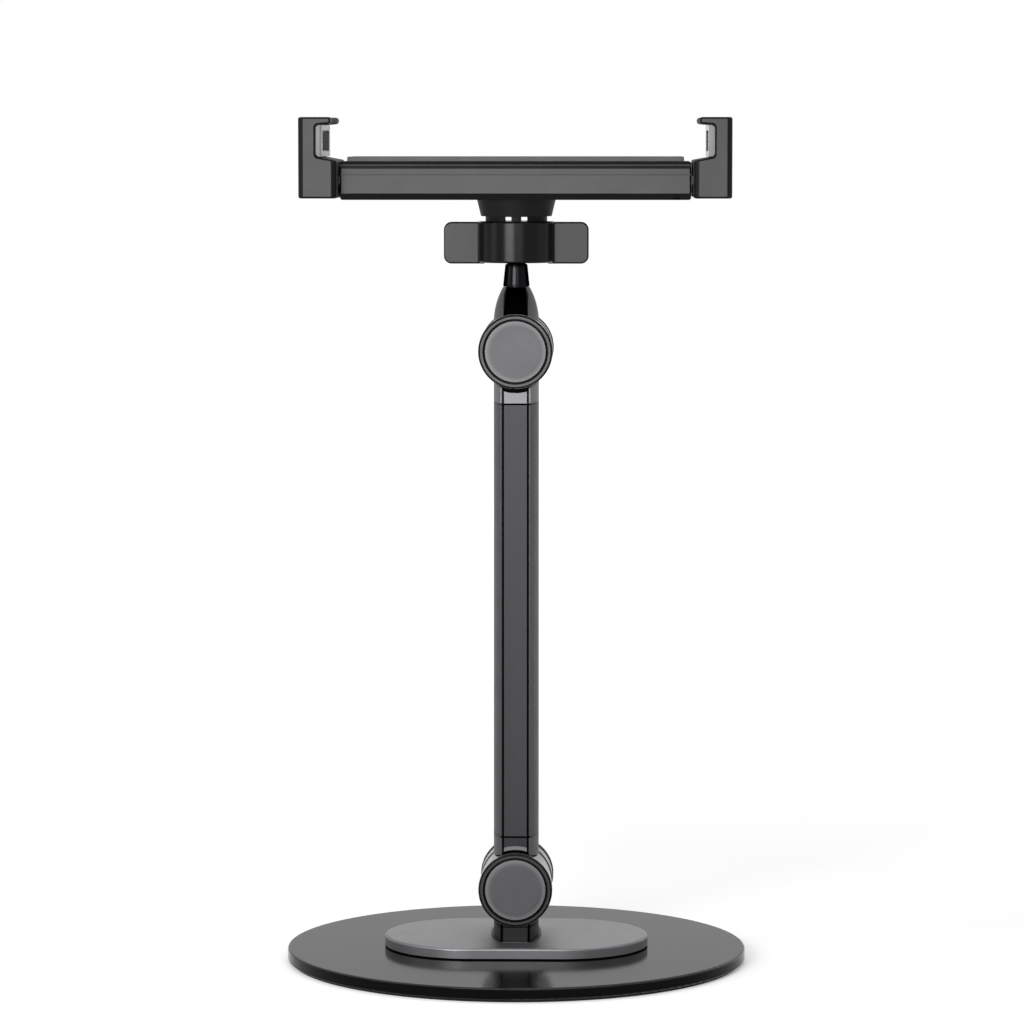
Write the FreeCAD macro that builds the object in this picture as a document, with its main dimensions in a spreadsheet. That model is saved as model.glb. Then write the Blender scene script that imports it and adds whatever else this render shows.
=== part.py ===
import FreeCAD, Part
import math
import os
import Sketcher

# Tablet desk stand: a round weighted base, a mast between two friction knuckles, a ball joint
# with a wing nut, and a spring-loaded holder whose two jaws are kept in step by a pinion.
# The origin is the middle of the base's underside. +Z is up and the front faces -Y.

doc = FreeCAD.newDocument("tablet_desk_stand")
sheet = doc.addObject("Spreadsheet::Sheet", "Sizes")
Vector = FreeCAD.Vector
UPRIGHT = FreeCAD.Rotation()
ABOUT_Z = FreeCAD.Rotation(Vector(0, 0, 1), 180)
UPSIDE_DOWN = FreeCAD.Rotation(Vector(0, 1, 0), 180)
TO_FRONT = FreeCAD.Rotation(Vector(1, 0, 0), 90)
TO_REAR = FreeCAD.Rotation(Vector(1, 0, 0), -90)
TO_RIGHT = FreeCAD.Rotation(Vector(0, 1, 0), 90)

# Driving dimensions in millimetres, and angles in degrees.
DIMENSIONS = {
    # round base plate and the rubber pad under it
    "plate_radius": 100,
    "plate_thickness": 5.2,
    "plate_edge": 0.8,
    "pad_thickness": 1.0,
    "pad_inset": 1.5,
    # long foot plate, on a thin gasket
    "foot_length": 115,
    "foot_width": 75,
    "foot_thickness": 4.5,
    "foot_edge": 1.0,
    "gasket_thickness": 0.6,
    "gasket_inset": 2.5,
    "foot_screw_x": 32,
    "foot_screw_y": 18,
    "post_screw_y": 12,
    "post_screw_grip": 4.6,
    "screw_radius": 2.5,
    "screw_head_radius": 4.8,
    "hole_clearance": 0.2,
    # knuckles: the fork's barrel, the tongue between its lugs, and the pivot bolt
    "axis_height": 23.0,
    "axis_spacing": 233.0,
    "barrel_radius": 15.6,
    "barrel_half": 20.4,
    "slot_half": 7.2,
    "tongue_radius": 15.2,
    "turning_gap": 0.5,
    "washer_thickness": 0.4,
    "washer_radius": 12.0,
    "washer_gap": 0.1,
    "bolt_radius": 3.0,
    "bolt_fit": 0.05,
    "bolt_head_radius": 5.0,
    "bolt_head_height": 6.0,
    "bolt_socket": 2.5,
    "counterbore_depth": 7.2,
    "counterbore_radius": 7.2,
    "nut_half_width": 5.0,
    "nut_height": 4.8,
    "disc_spring_radius": 6.2,
    "disc_spring_thickness": 0.6,
    "disc_spring_rise": 0.3,
    # bezel and cap that close each end of a barrel
    "bezel_radius": 16.0,
    "bezel_depth": 3.6,
    "bezel_edge": 0.9,
    "bezel_floor": 1.0,
    "cap_radius": 13.0,
    "cap_groove": 1.0,
    "cap_land": 10.4,
    "cap_bevel": 0.4,
    # mast: a hollow extrusion of lens section with an inlaid strip front and rear
    "seam_offset": 22.7,
    "mast_half_width": 9.8,
    "mast_proud": 0.1,
    "mast_flat": 6.4,
    "mast_wall": 2.3,
    "strip_width": 10.5,
    "strip_groove": 0.75,
    "strip_depth": 1.2,
    "spigot_length": 18.0,
    "spigot_clearance": 0.15,
    "spigot_screw_z": 9.0,
    "small_screw_radius": 1.5,
    "small_screw_head": 2.8,
    "small_screw_length": 6.0,
    # post under the lower knuckle
    "flange_thickness": 0.9,
    "flange_side": 1.1,
    "flange_end": 0.6,
    "post_foot_depth": 2.6,
    "post_foot_gap": 0.5,
    # neck over the upper knuckle
    "neck_height": 26.9,
    "neck_root": 9.0,
    "neck_root_flat": 5.6,
    "neck_waist_height": 20.5,
    "neck_waist_half_width": 8.5,
    "neck_waist_half_depth": 12.5,
    "neck_waist_flat": 4.8,
    "neck_top_half_width": 5.8,
    "neck_top_half_depth": 6.4,
    "neck_top_flat": 4.25,
    # ball stud
    "ball_height": 46.9,
    "ball_radius": 10.0,
    "ball_flat": 8.4,
    "ball_neck_radius": 3.5,
    "stem_length": 10.2,
    "stem_radius": 4.8,
    "stem_foot_radius": 5.7,
    "stem_seat_gap": 0.3,
    "shank_radius": 4.0,
    "shank_length": 12.0,
    "tilt_limit": 35,
    # socket: slotted collet under the holder, its seat ring and the wing nut
    "ball_fit": 0.06,
    "socket_mouth": 4.6,
    "seat_radius": 8.4,
    "seat_fit": 0.08,
    "crown_radius": 6.5,
    "collet_radius": 13.35,
    "collet_lip_radius": 12.2,
    "collet_taper": 3.6,
    "collet_height": 10.7,
    "collet_roof": 0.2,
    "slot_width": 3.0,
    "slot_offset": 3.4,
    "side_slot_width": 1.6,
    "boss_radius": 15.3,
    "boss_top_radius": 17.05,
    "wing_nut_radius": 16.7,
    "wing_nut_top": 8.5,
    "wing_nut_bottom": 9.3,
    "wing_nut_gap": 0.35,
    "wing_nut_lip": 0.7,
    "wing_nut_edge": 0.8,
    "wing_span": 62.6,
    "wing_drop": 0.5,
    "wing_thickness": 6.0,
    "wing_corner": 3.4,
    "wing_edge": 0.8,
    # holder housing, in two shells
    "housing_height": 17.9,
    "housing_half_length": 75.1,
    "housing_half_depth": 22.0,
    "base_shell_depth": 10.5,
    "cover_depth": 6.0,
    "shell_wall": 2.0,
    "shell_floor": 2.4,
    "shell_bevel_depth": 2.0,
    "shell_bevel_height": 2.8,
    "shell_end_bevel": 0.7,
    "parting_groove": 0.45,
    "parting_groove_depth": 0.5,
    "cover_edge": 0.9,
    "cover_edge_height": 1.4,
    "cover_groove": 1.3,
    "cover_groove_depth": 0.8,
    "cover_roof": 2.0,
    "strip_pad_margin": 3.1,
    "strip_pad_width": 7.0,
    "strip_pad_edge": 0.9,
    "strip_pad_height": 2.0,
    "strip_pad_sink": 0.6,
    "strip_pad_y": 17.0,
    "inner_pillar_x": 24.0,
    "inner_pillar_radius": 3.0,
    "outer_pillar_inset": 6.1,
    "outer_pillar_radius": 2.2,
    "outer_pillar_sink": 0.9,
    "pillar_screw_radius": 1.25,
    "pillar_screw_head": 2.4,
    # rack and pinion
    "gear_module": 1.0,
    "pinion_teeth": 16,
    "tooth_tip": 0.8,
    "tooth_root": 1.0,
    "pressure_angle": 20,
    "backlash": 0.16,
    "axle_radius": 2.0,
    "axle_fit": 0.05,
    "axle_boss_radius": 4.0,
    "axle_gap": 0.1,
    # sliding arms, one to each jaw
    "arm_rise": 4.4,
    "arm_thickness": 3.2,
    "arm_gap": 0.2,
    "arm_half_width": 15.0,
    "finger_outer": 14.0,
    "finger_reach": 34.0,
    "finger_lead": 8.0,
    "rail_width": 3.0,
    "rail_y": 11.5,
    "lug_length": 4.0,
    "lug_margin": 1.1,
    "lug_side": 19.6,
    "jaw_travel": 28.0,
    # extension springs that pull the jaws in
    "spring_radius": 2.1,
    "spring_wire": 0.6,
    "spring_post_x": 6.0,
    "spring_post_length": 3.0,
    "spring_y": 17.6,
    # jaws
    "jaw_gap": 0.9,
    "jaw_length": 16.4,
    "jaw_half_depth": 31.0,
    "jaw_bottom": 18.6,
    "jaw_height": 34.6,
    "jaw_wall": 7.5,
    "jaw_block_height": 17.8,
    "jaw_block_slope": 1.6,
    "lip_length": 14.0,
    "lip_thickness": 3.4,
    "lip_tip_thickness": 2.8,
    "lip_tip_round": 1.3,
    "lip_width": 12.0,
    "jaw_slot_corner": 1.2,
    "jaw_outer_corner": 2.7,
    "jaw_inner_corner": 2.8,
    "jaw_edge": 1.0,
    "arm_socket": 8.2,
    "jaw_screw_y": 9.0,
    "pad_depth": 2.6,
    "pad_end_margin": 1.5,
    "pad_corner_gap": 0.4,
    "pad_window": 48.0,
    "pad_window_height": 9.2,
    "pad_window_depth": 1.2,
}


class Size:
    """A length or angle with the expression that binds it to the sheet."""

    def __init__(self, text, value):
        self.text = text
        self.value = float(value)

    @staticmethod
    def of(other):
        return other if isinstance(other, Size) else Size(repr(float(other)), other)

    def __add__(self, other):
        other = Size.of(other)
        return Size(f"({self.text} + {other.text})", self.value + other.value)

    def __sub__(self, other):
        other = Size.of(other)
        return Size(f"({self.text} - {other.text})", self.value - other.value)

    def __mul__(self, other):
        other = Size.of(other)
        return Size(f"({self.text} * {other.text})", self.value * other.value)

    def __truediv__(self, other):
        other = Size.of(other)
        return Size(f"({self.text} / {other.text})", self.value / other.value)

    def __neg__(self):
        return Size(f"(0 - {self.text})", -self.value)


def root(size):
    return Size(f"sqrt({size.text})", math.sqrt(size.value))


def tangent(angle):
    return Size(f"tan({angle.text})", math.tan(math.radians(angle.value)))


def cosine(angle):
    return Size(f"cos({angle.text})", math.cos(math.radians(angle.value)))


def height_on(radius, across):
    """How far out a circle or ball of this radius is, at a distance across from its middle."""
    return root(radius * radius - across * across)


class Dimensions:
    """Every cell of the sheet, as an attribute."""

    def __init__(self, cells):
        for row, (alias, value) in enumerate(cells.items(), 1):
            sheet.set(f"A{row}", alias)
            sheet.set(f"B{row}", str(value))
            sheet.setAlias(f"B{row}", alias)
            setattr(self, alias, Size(f"Sizes.{alias}", value))


d = Dimensions(DIMENSIONS)
doc.recompute()

# Heights that follow from the driving dimensions.
plate_top = d.pad_thickness + d.plate_thickness
foot_bottom = plate_top + d.gasket_thickness
foot_top = foot_bottom + d.foot_thickness
lower_axis = foot_top + d.axis_height
upper_axis = lower_axis + d.axis_spacing
ball_centre = upper_axis + d.ball_height
mast_length = d.axis_spacing - d.seam_offset * 2
mast_half_depth = d.barrel_half + d.mast_proud
mast_floor = mast_half_depth - d.strip_depth
bolt_seat = d.barrel_half - d.counterbore_depth
tongue_half = d.slot_half - d.washer_gap - d.washer_thickness
seat_circle = d.barrel_radius + d.turning_gap
bezel_face = d.barrel_half + d.bezel_depth

# Heights in the holder, from the centre of the ball.
parting = d.housing_height + d.base_shell_depth
cover_top = parting + d.cover_depth
cover_roof = cover_top - d.cover_roof
floor_top = d.housing_height + d.shell_floor
rail_top = floor_top + d.arm_rise - d.arm_gap
arm_bottom = floor_top + d.arm_rise
arm_top = arm_bottom + d.arm_thickness
jaw_inner = d.housing_half_length + d.jaw_gap
jaw_outer = jaw_inner + d.jaw_length
jaw_top = d.jaw_bottom + d.jaw_height
lip_bottom = jaw_top - d.lip_thickness
wall_inner = jaw_outer - d.jaw_wall
pitch_radius = d.gear_module * d.pinion_teeth / 2
arm_start = d.housing_half_length - d.shell_wall - d.jaw_travel - d.lug_length - d.lug_margin


def bind(item, name, size):
    item.setExpression(name, Size.of(size).text)


def place(item, x=0, y=0, z=0, turn=UPRIGHT):
    """Puts an object at a bound place, turned by a fixed right angle or half turn."""
    spot = [Size.of(x), Size.of(y), Size.of(z)]
    item.Placement = FreeCAD.Placement(Vector(*[size.value for size in spot]), turn)
    for letter, size in zip("xyz", spot):
        bind(item, f"Placement.Base.{letter}", size)
    return item


def new_body(label, x=0, y=0, z=0, turn=UPRIGHT):
    body = doc.addObject("PartDesign::Body", label)
    body.Label = label
    return place(body, x, y, z, turn)


def sketch_on(body, plane, name, lift=None):
    """A sketch on one of the body's own origin planes, lifted along the plane's normal."""
    sketch = body.newObject("Sketcher::SketchObject", f"{body.Label}_{name}")
    support = next(f for f in body.Origin.OriginFeatures if f.Role == plane)
    sketch.AttachmentSupport = (support, [""])
    sketch.MapMode = "FlatFace"
    if lift is not None:
        bind(sketch, "AttachmentOffset.Base.z", lift)
    return sketch


def pin_down(sketch, geometry, end, x, y):
    """Holds a point of the sketch at bound distances from the sketch's origin."""
    for kind, size, axis in (("DistanceX", x, -2), ("DistanceY", y, -1)):
        if Size.of(size).value == 0:
            sketch.addConstraint(Sketcher.Constraint("PointOnObject", geometry, end, axis))
            continue
        held = Sketcher.Constraint(kind, -1, 1, geometry, end, Size.of(size).value)
        bind(sketch, f"Constraints[{sketch.addConstraint(held)}]", size)


def outline(sketch, corners):
    """A closed outline. A corner is (x, y) or (x, y, radius), and the radius makes the edge
    to the next corner an arc, to the left of its centre if negative, else to the right."""
    first = sketch.GeometryCount
    spots = [Vector(Size.of(c[0]).value, Size.of(c[1]).value, 0) for c in corners]
    starts = []
    for n, corner in enumerate(corners):
        here, there = spots[n], spots[(n + 1) % len(spots)]
        if len(corner) == 2:
            sketch.addGeometry(Part.LineSegment(here, there), False)
            starts.append((first + n, 1, 2))
            continue
        radius = Size.of(corner[2])
        chord = there - here
        left = Vector(-chord.y, chord.x, 0).normalize()
        reach = math.sqrt(max(radius.value**2 - (chord.Length / 2) ** 2, 0))
        centre = (here + there) * 0.5 + left * math.copysign(reach, radius.value)
        turns = [math.atan2((p - centre).y, (p - centre).x) for p in (here, there)]
        if radius.value < 0:
            turns.reverse()
        circle = Part.Circle(centre, Vector(0, 0, 1), abs(radius.value))
        sketch.addGeometry(Part.ArcOfCircle(circle, *turns), False)
        starts.append((first + n, 1, 2) if radius.value > 0 else (first + n, 2, 1))
    for n, corner in enumerate(corners):
        edge, start, end = starts[n]
        following = starts[(n + 1) % len(starts)]
        joined = Sketcher.Constraint("Coincident", edge, end, following[0], following[1])
        sketch.addConstraint(joined)
        pin_down(sketch, edge, start, corner[0], corner[1])
        if len(corner) == 3:
            radius = Size.of(corner[2])
            bound = -radius if radius.value < 0 else radius
            held = Sketcher.Constraint("Radius", edge, bound.value)
            bind(sketch, f"Constraints[{sketch.addConstraint(held)}]", bound)


def circle(sketch, radius, x=0, y=0):
    middle = Vector(Size.of(x).value, Size.of(y).value, 0)
    edge = sketch.addGeometry(Part.Circle(middle, Vector(0, 0, 1), Size.of(radius).value), False)
    if Size.of(x).value == 0 and Size.of(y).value == 0:
        sketch.addConstraint(Sketcher.Constraint("Coincident", edge, 3, -1, 1))
    else:
        pin_down(sketch, edge, 3, x, y)
    held = Sketcher.Constraint("Radius", edge, Size.of(radius).value)
    bind(sketch, f"Constraints[{sketch.addConstraint(held)}]", radius)


def rectangle(sketch, low_x, high_x, low_y, high_y):
    outline(sketch, [(low_x, low_y), (high_x, low_y), (high_x, high_y), (low_x, high_y)])


def rounded_rectangle(sketch, half_x, half_y, corner):
    inner_x = half_x - corner
    inner_y = half_y - corner
    outline(sketch, [
        (-inner_x, -half_y), (inner_x, -half_y, corner),
        (half_x, -inner_y), (half_x, inner_y, corner),
        (inner_x, half_y), (-inner_x, half_y, corner),
        (-half_x, inner_y), (-half_x, -inner_y, corner),
    ])


def stadium(sketch, half_length, half_width):
    straight = half_length - half_width
    outline(sketch, [
        (-straight, -half_width), (straight, -half_width, half_width),
        (half_length, 0, half_width), (straight, half_width),
        (-straight, half_width, half_width), (-half_length, 0, half_width),
    ])


def lens(sketch, half_width, half_depth, flat):
    """The mast's section: flat at front and rear, with bowed sides."""
    bow = half_width - flat
    side = (half_depth * half_depth + bow * bow) / (bow * 2)
    outline(sketch, [
        (-flat, -half_depth), (flat, -half_depth, side),
        (flat, half_depth), (-flat, half_depth, side),
    ])


def extrude(body, kind, name, sketch, length, symmetric=False, backwards=False):
    """A pad or pocket. Length None means a pocket through everything."""
    item = body.newObject(f"PartDesign::{kind}", f"{body.Label}_{name}")
    item.Profile = sketch
    if length is None:
        item.Type = "ThroughAll"
    else:
        bind(item, "Length", length)
    if symmetric:
        item.SideType = "Symmetric"
    item.Reversed = backwards
    return item


def pad(body, name, sketch, length, symmetric=False, backwards=False):
    return extrude(body, "Pad", name, sketch, length, symmetric, backwards)


def pocket(body, name, sketch, length=None, symmetric=False, backwards=False):
    return extrude(body, "Pocket", name, sketch, length, symmetric, backwards)


def revolve(body, name, plane, corners, kind="Revolution"):
    """A profile of (radius, distance along the axis) turned about the plane's upright axis."""
    sketch = sketch_on(body, plane, f"{name}_profile")
    outline(sketch, corners)
    item = body.newObject(f"PartDesign::{kind}", f"{body.Label}_{name}")
    item.Profile = sketch
    item.ReferenceAxis = (sketch, ["V_Axis"])
    item.Angle = 360
    return item


def drill(body, name, radius, depth, x=0, y=0, z=0, head=None, turn=UPRIGHT):
    """A hole from a face inwards, with a countersink for a screw head if one is named."""
    hole = body.newObject("PartDesign::SubtractiveCylinder", f"{body.Label}_{name}")
    bind(hole, "Radius", radius)
    bind(hole, "Height", depth)
    place(hole, x, y, z, turn)
    if head is not None:
        sink = body.newObject("PartDesign::SubtractiveCone", f"{body.Label}_{name}_sink")
        bind(sink, "Radius1", head)
        bind(sink, "Radius2", radius)
        bind(sink, "Height", head - radius)
        place(sink, x, y, z, turn)


def round_edges(body, name, radius, chosen, kind="Fillet"):
    """Rounds or bevels the edges of the body so far that the test chooses."""
    doc.recompute()
    base = body.Tip
    names = [f"Edge{n}" for n, edge in enumerate(base.Shape.Edges, 1) if chosen(edge)]
    item = body.newObject(f"PartDesign::{kind}", f"{body.Label}_{name}")
    item.Base = (base, names)
    bind(item, "Size" if kind == "Chamfer" else "Radius", radius)
    return item


def lies_at(edge, axis, size):
    """True where the whole edge lies at this distance along x, y or z of its body."""
    box = edge.BoundBox
    low, high = (getattr(box, f"{axis}{side}") for side in ("Min", "Max"))
    return max(abs(low - size.value), abs(high - size.value)) < 0.001


def screw_group(label, spots, radius, head, length):
    """Countersunk screws that share one node. Each spot is (x, y, z, turn) of a head's face."""
    screws = []
    for n, (x, y, z, turn) in enumerate(spots, 1):
        cone = doc.addObject("Part::Cone", f"{label}_head_{n}")
        bind(cone, "Radius1", head)
        bind(cone, "Radius2", radius)
        bind(cone, "Height", head - radius)
        shank = doc.addObject("Part::Cylinder", f"{label}_shank_{n}")
        bind(shank, "Radius", radius)
        bind(shank, "Height", length)
        screw = doc.addObject("Part::Fuse", f"{label}_{n}")
        screw.Base = cone
        screw.Tool = shank
        screws.append(place(screw, x, y, z, turn))
    group = doc.addObject("Part::Compound", label)
    group.Label = label
    group.Links = screws
    return place(group)


# Base

def base_pad():
    """Rubber pad glued under the plate."""
    body = new_body("base_pad")
    sketch = sketch_on(body, "XY_Plane", "disc")
    circle(sketch, d.plate_radius - d.pad_inset)
    pad(body, "sheet", sketch, d.pad_thickness)
    return body


def foot_screw_spots(z):
    return [(d.foot_screw_x * i, d.foot_screw_y * j, z, UPRIGHT) for i in (-1, 1) for j in (-1, 1)]


def base_plate():
    body = new_body("base_plate", z=d.pad_thickness)
    inner = d.plate_radius - d.plate_edge
    shoulder = d.plate_thickness - d.plate_edge
    revolve(body, "disc", "XZ_Plane", [
        (0, 0), (inner, 0, d.plate_edge), (d.plate_radius, d.plate_edge),
        (d.plate_radius, shoulder, d.plate_edge), (inner, d.plate_thickness), (0, d.plate_thickness),
    ])
    for n, (x, y, z, turn) in enumerate(foot_screw_spots(0), 1):
        drill(body, f"hole_{n}", d.screw_radius + d.hole_clearance, d.plate_thickness,
              x, y, 0, d.screw_head_radius + d.hole_clearance)
    return body


def foot_gasket():
    body = new_body("foot_gasket", z=plate_top)
    sketch = sketch_on(body, "XY_Plane", "outline")
    stadium(sketch, d.foot_length / 2 - d.gasket_inset, d.foot_width / 2 - d.gasket_inset)
    for x, y, z, turn in foot_screw_spots(0):
        circle(sketch, d.screw_radius + d.hole_clearance, x, y)
    pad(body, "sheet", sketch, d.gasket_thickness)
    return body


def foot_plate():
    body = new_body("foot_plate", z=foot_bottom)
    sketch = sketch_on(body, "XY_Plane", "outline")
    stadium(sketch, d.foot_length / 2, d.foot_width / 2)
    pad(body, "plate", sketch, d.foot_thickness)
    round_edges(body, "edge", d.foot_edge, lambda edge: lies_at(edge, "Z", d.foot_thickness))
    for n, (x, y, z, turn) in enumerate(foot_screw_spots(0), 1):
        drill(body, f"thread_{n}", d.screw_radius + d.hole_clearance / 2,
              d.foot_thickness - d.foot_edge, x, y, 0)
    for n, side in enumerate((-1, 1), 1):
        drill(body, f"post_hole_{n}", d.screw_radius + d.hole_clearance, d.foot_thickness,
              0, d.post_screw_y * side, 0, d.screw_head_radius + d.hole_clearance)
    return body


def base_screws():
    length = d.plate_thickness + d.gasket_thickness + d.foot_thickness - d.foot_edge - d.hole_clearance
    spots = foot_screw_spots(d.pad_thickness)
    return screw_group("base_screws", spots, d.screw_radius, d.screw_head_radius, length)


def post_screws():
    spots = [(0, d.post_screw_y * side, foot_bottom, UPRIGHT) for side in (-1, 1)]
    length = d.foot_thickness + d.post_screw_grip
    return screw_group("post_screws", spots, d.screw_radius, d.screw_head_radius, length)


# Knuckles

def cut_panel_lines(body, half_depth, top, length):
    """Two fine grooves front and rear, from this height down, in line with the mast's channels."""
    lines = sketch_on(body, "XY_Plane", "panel_lines", top)
    near = d.strip_width / 2
    far = near + d.strip_groove
    floor = half_depth - d.strip_depth
    proud = half_depth + d.strip_depth
    for left, right in ((-far, -near), (near, far)):
        rectangle(lines, left, right, -proud, -floor)
        rectangle(lines, left, right, floor, proud)
    pocket(body, "panel_line_cut", lines, length)


def cut_fork(body):
    """Cuts the tongue's slot, the pivot's bore and the two counterbores in a barrel."""
    sketch = sketch_on(body, "XZ_Plane", "slot")
    circle(sketch, seat_circle)
    pocket(body, "slot_cut", sketch, d.slot_half * 2, symmetric=True)
    bore = sketch_on(body, "XZ_Plane", "bore")
    circle(bore, d.bolt_radius + d.hole_clearance)
    pocket(body, "bore_cut", bore, d.barrel_half * 2, symmetric=True)
    for side, backwards in (("front", False), ("rear", True)):
        lift = d.barrel_half if side == "front" else -d.barrel_half
        sunk = sketch_on(body, "XZ_Plane", f"{side}_counterbore", lift)
        circle(sunk, d.counterbore_radius)
        pocket(body, f"{side}_sink", sunk, d.counterbore_depth, backwards=backwards)


def post_fork():
    """The post: foot flange, lens-section foot and post, and the fork's barrel in one casting."""
    body = new_body("post_fork", z=lower_axis)
    half_depth = d.barrel_half + d.post_foot_depth
    flange = sketch_on(body, "XY_Plane", "flange", -d.axis_height)
    lens(flange, d.mast_half_width + d.flange_side, half_depth + d.flange_end, d.mast_flat)
    pad(body, "flange_plate", flange, d.flange_thickness)
    foot_height = d.axis_height - d.bezel_radius - d.post_foot_gap
    foot = sketch_on(body, "XY_Plane", "foot", -d.axis_height)
    lens(foot, d.mast_half_width, half_depth, d.mast_flat)
    pad(body, "foot_block", foot, foot_height)
    top = foot_height - d.axis_height
    cut_panel_lines(body, half_depth, top, foot_height - d.flange_thickness)
    post = sketch_on(body, "XY_Plane", "post", -d.axis_height)
    lens(post, d.mast_half_width, d.barrel_half, d.mast_flat)
    pad(body, "post_block", post, d.axis_height)
    barrel = sketch_on(body, "XZ_Plane", "barrel")
    circle(barrel, d.barrel_radius)
    pad(body, "barrel_pad", barrel, d.barrel_half * 2, symmetric=True)
    cut_fork(body)
    for n, side in enumerate((-1, 1), 1):
        drill(body, f"thread_{n}", d.screw_radius + d.hole_clearance / 2,
              d.post_screw_grip + d.hole_clearance, 0, d.post_screw_y * side, -d.axis_height)
    return body


def neck_fork():
    """The neck: the fork's barrel, drawn up in a smooth taper to the ball's stem."""
    body = new_body("neck_fork", z=upper_axis)
    barrel = sketch_on(body, "XZ_Plane", "barrel")
    circle(barrel, d.barrel_radius)
    pad(body, "barrel_pad", barrel, d.barrel_half * 2, symmetric=True)
    sections = []
    for name, lift, width, depth, flat in (
        ("root", d.neck_root, d.mast_half_width, d.barrel_half, d.neck_root_flat),
        ("waist", d.neck_waist_height, d.neck_waist_half_width, d.neck_waist_half_depth, d.neck_waist_flat),
        ("top", d.neck_height, d.neck_top_half_width, d.neck_top_half_depth, d.neck_top_flat),
    ):
        section = sketch_on(body, "XY_Plane", f"{name}_section", lift)
        lens(section, width, depth, flat)
        sections.append(section)
    loft = body.newObject("PartDesign::AdditiveLoft", "neck_fork_taper")
    loft.Profile = sections[0]
    loft.Sections = sections[1:]
    cut_fork(body)
    drill(body, "stem_bore", d.shank_radius + d.bolt_fit, d.shank_length,
          0, 0, d.neck_height - d.shank_length)
    return body


def tongue(label, z, turn):
    """End fitting of the mast: tongue, hollowed shoulder that clears the barrel, and spigot."""
    body = new_body(label, z=z, turn=turn)
    shoulder = sketch_on(body, "XY_Plane", "shoulder", d.tongue_radius / 2)
    lens(shoulder, d.mast_half_width, mast_half_depth, d.mast_flat)
    pad(body, "shoulder_pad", shoulder, d.seam_offset - d.tongue_radius / 2)
    cut_panel_lines(body, mast_half_depth, d.seam_offset, d.seam_offset - d.tongue_radius / 2)
    hollow = sketch_on(body, "XZ_Plane", "hollow")
    circle(hollow, seat_circle)
    pocket(body, "hollow_cut", hollow, mast_half_depth * 2, symmetric=True)
    disc = sketch_on(body, "XZ_Plane", "disc")
    circle(disc, d.tongue_radius)
    pad(body, "disc_pad", disc, tongue_half * 2, symmetric=True)
    web = sketch_on(body, "XZ_Plane", "web")
    reach = d.mast_half_width - d.turning_gap
    rectangle(web, -reach, reach, 0, d.seam_offset)
    pad(body, "web_pad", web, tongue_half * 2, symmetric=True)
    spigot = sketch_on(body, "XY_Plane", "spigot", d.seam_offset)
    gap = d.mast_wall + d.spigot_clearance
    lens(spigot, d.mast_half_width - gap, mast_floor - gap, d.mast_flat - gap / 2)
    pad(body, "spigot_pad", spigot, d.spigot_length)
    bore = sketch_on(body, "XZ_Plane", "bore")
    circle(bore, d.bolt_radius + d.bolt_fit)
    pocket(body, "bore_cut", bore, tongue_half * 2, symmetric=True)
    for n, (y, aim) in enumerate(((-mast_floor, TO_REAR), (mast_floor, TO_FRONT)), 1):
        drill(body, f"thread_{n}", d.small_screw_radius + d.hole_clearance / 2,
              d.small_screw_length + d.hole_clearance, 0, y, d.seam_offset + d.spigot_screw_z, turn=aim)
    return body


def friction_washers(label, z):
    """A thin washer on each side of the tongue."""
    rings = []
    for n, start in enumerate((-tongue_half, tongue_half + d.washer_thickness), 1):
        disc = doc.addObject("Part::Cylinder", f"{label}_disc_{n}")
        bind(disc, "Radius", d.washer_radius)
        bind(disc, "Height", d.washer_thickness)
        hole = doc.addObject("Part::Cylinder", f"{label}_hole_{n}")
        bind(hole, "Radius", d.bolt_radius + d.bolt_fit)
        bind(hole, "Height", d.washer_thickness)
        ring = doc.addObject("Part::Cut", f"{label}_{n}")
        ring.Base = disc
        ring.Tool = hole
        rings.append(place(ring, 0, start, 0, TO_FRONT))
    group = doc.addObject("Part::Compound", label)
    group.Label = label
    group.Links = rings
    return place(group, z=z)


def pivot_bolt(label, z):
    """Socket-head bolt, its head at the front and its thread through the rear lug."""
    body = new_body(label, z=z)
    head_top = -(bolt_seat + d.bolt_head_height)
    tip = d.barrel_half + d.bezel_floor / 2
    revolve(body, "turned", "XY_Plane", [
        (0, head_top), (d.bolt_head_radius, head_top), (d.bolt_head_radius, -bolt_seat),
        (d.bolt_radius, -bolt_seat), (d.bolt_radius, tip), (0, tip),
    ])
    socket = sketch_on(body, "XZ_Plane", "socket", -head_top)
    hexagon(socket, d.bolt_socket)
    pocket(body, "socket_cut", socket, d.bolt_head_height / 2)
    return body


def hexagon(sketch, half_width):
    """A hexagon with two corners on the sketch's first axis."""
    corner = half_width * (2 / math.sqrt(3))
    outline(sketch, [
        (corner, 0), (corner / 2, half_width), (-corner / 2, half_width),
        (-corner, 0), (-corner / 2, -half_width), (corner / 2, -half_width),
    ])


def lock_nut(label, z):
    body = new_body(label, z=z)
    seat = bolt_seat + (d.disc_spring_thickness + d.disc_spring_rise) * 2
    sketch = sketch_on(body, "XZ_Plane", "hexagon", -seat)
    hexagon(sketch, d.nut_half_width)
    circle(sketch, d.bolt_radius + d.bolt_fit)
    pad(body, "nut", sketch, d.nut_height, backwards=True)
    return body


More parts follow.
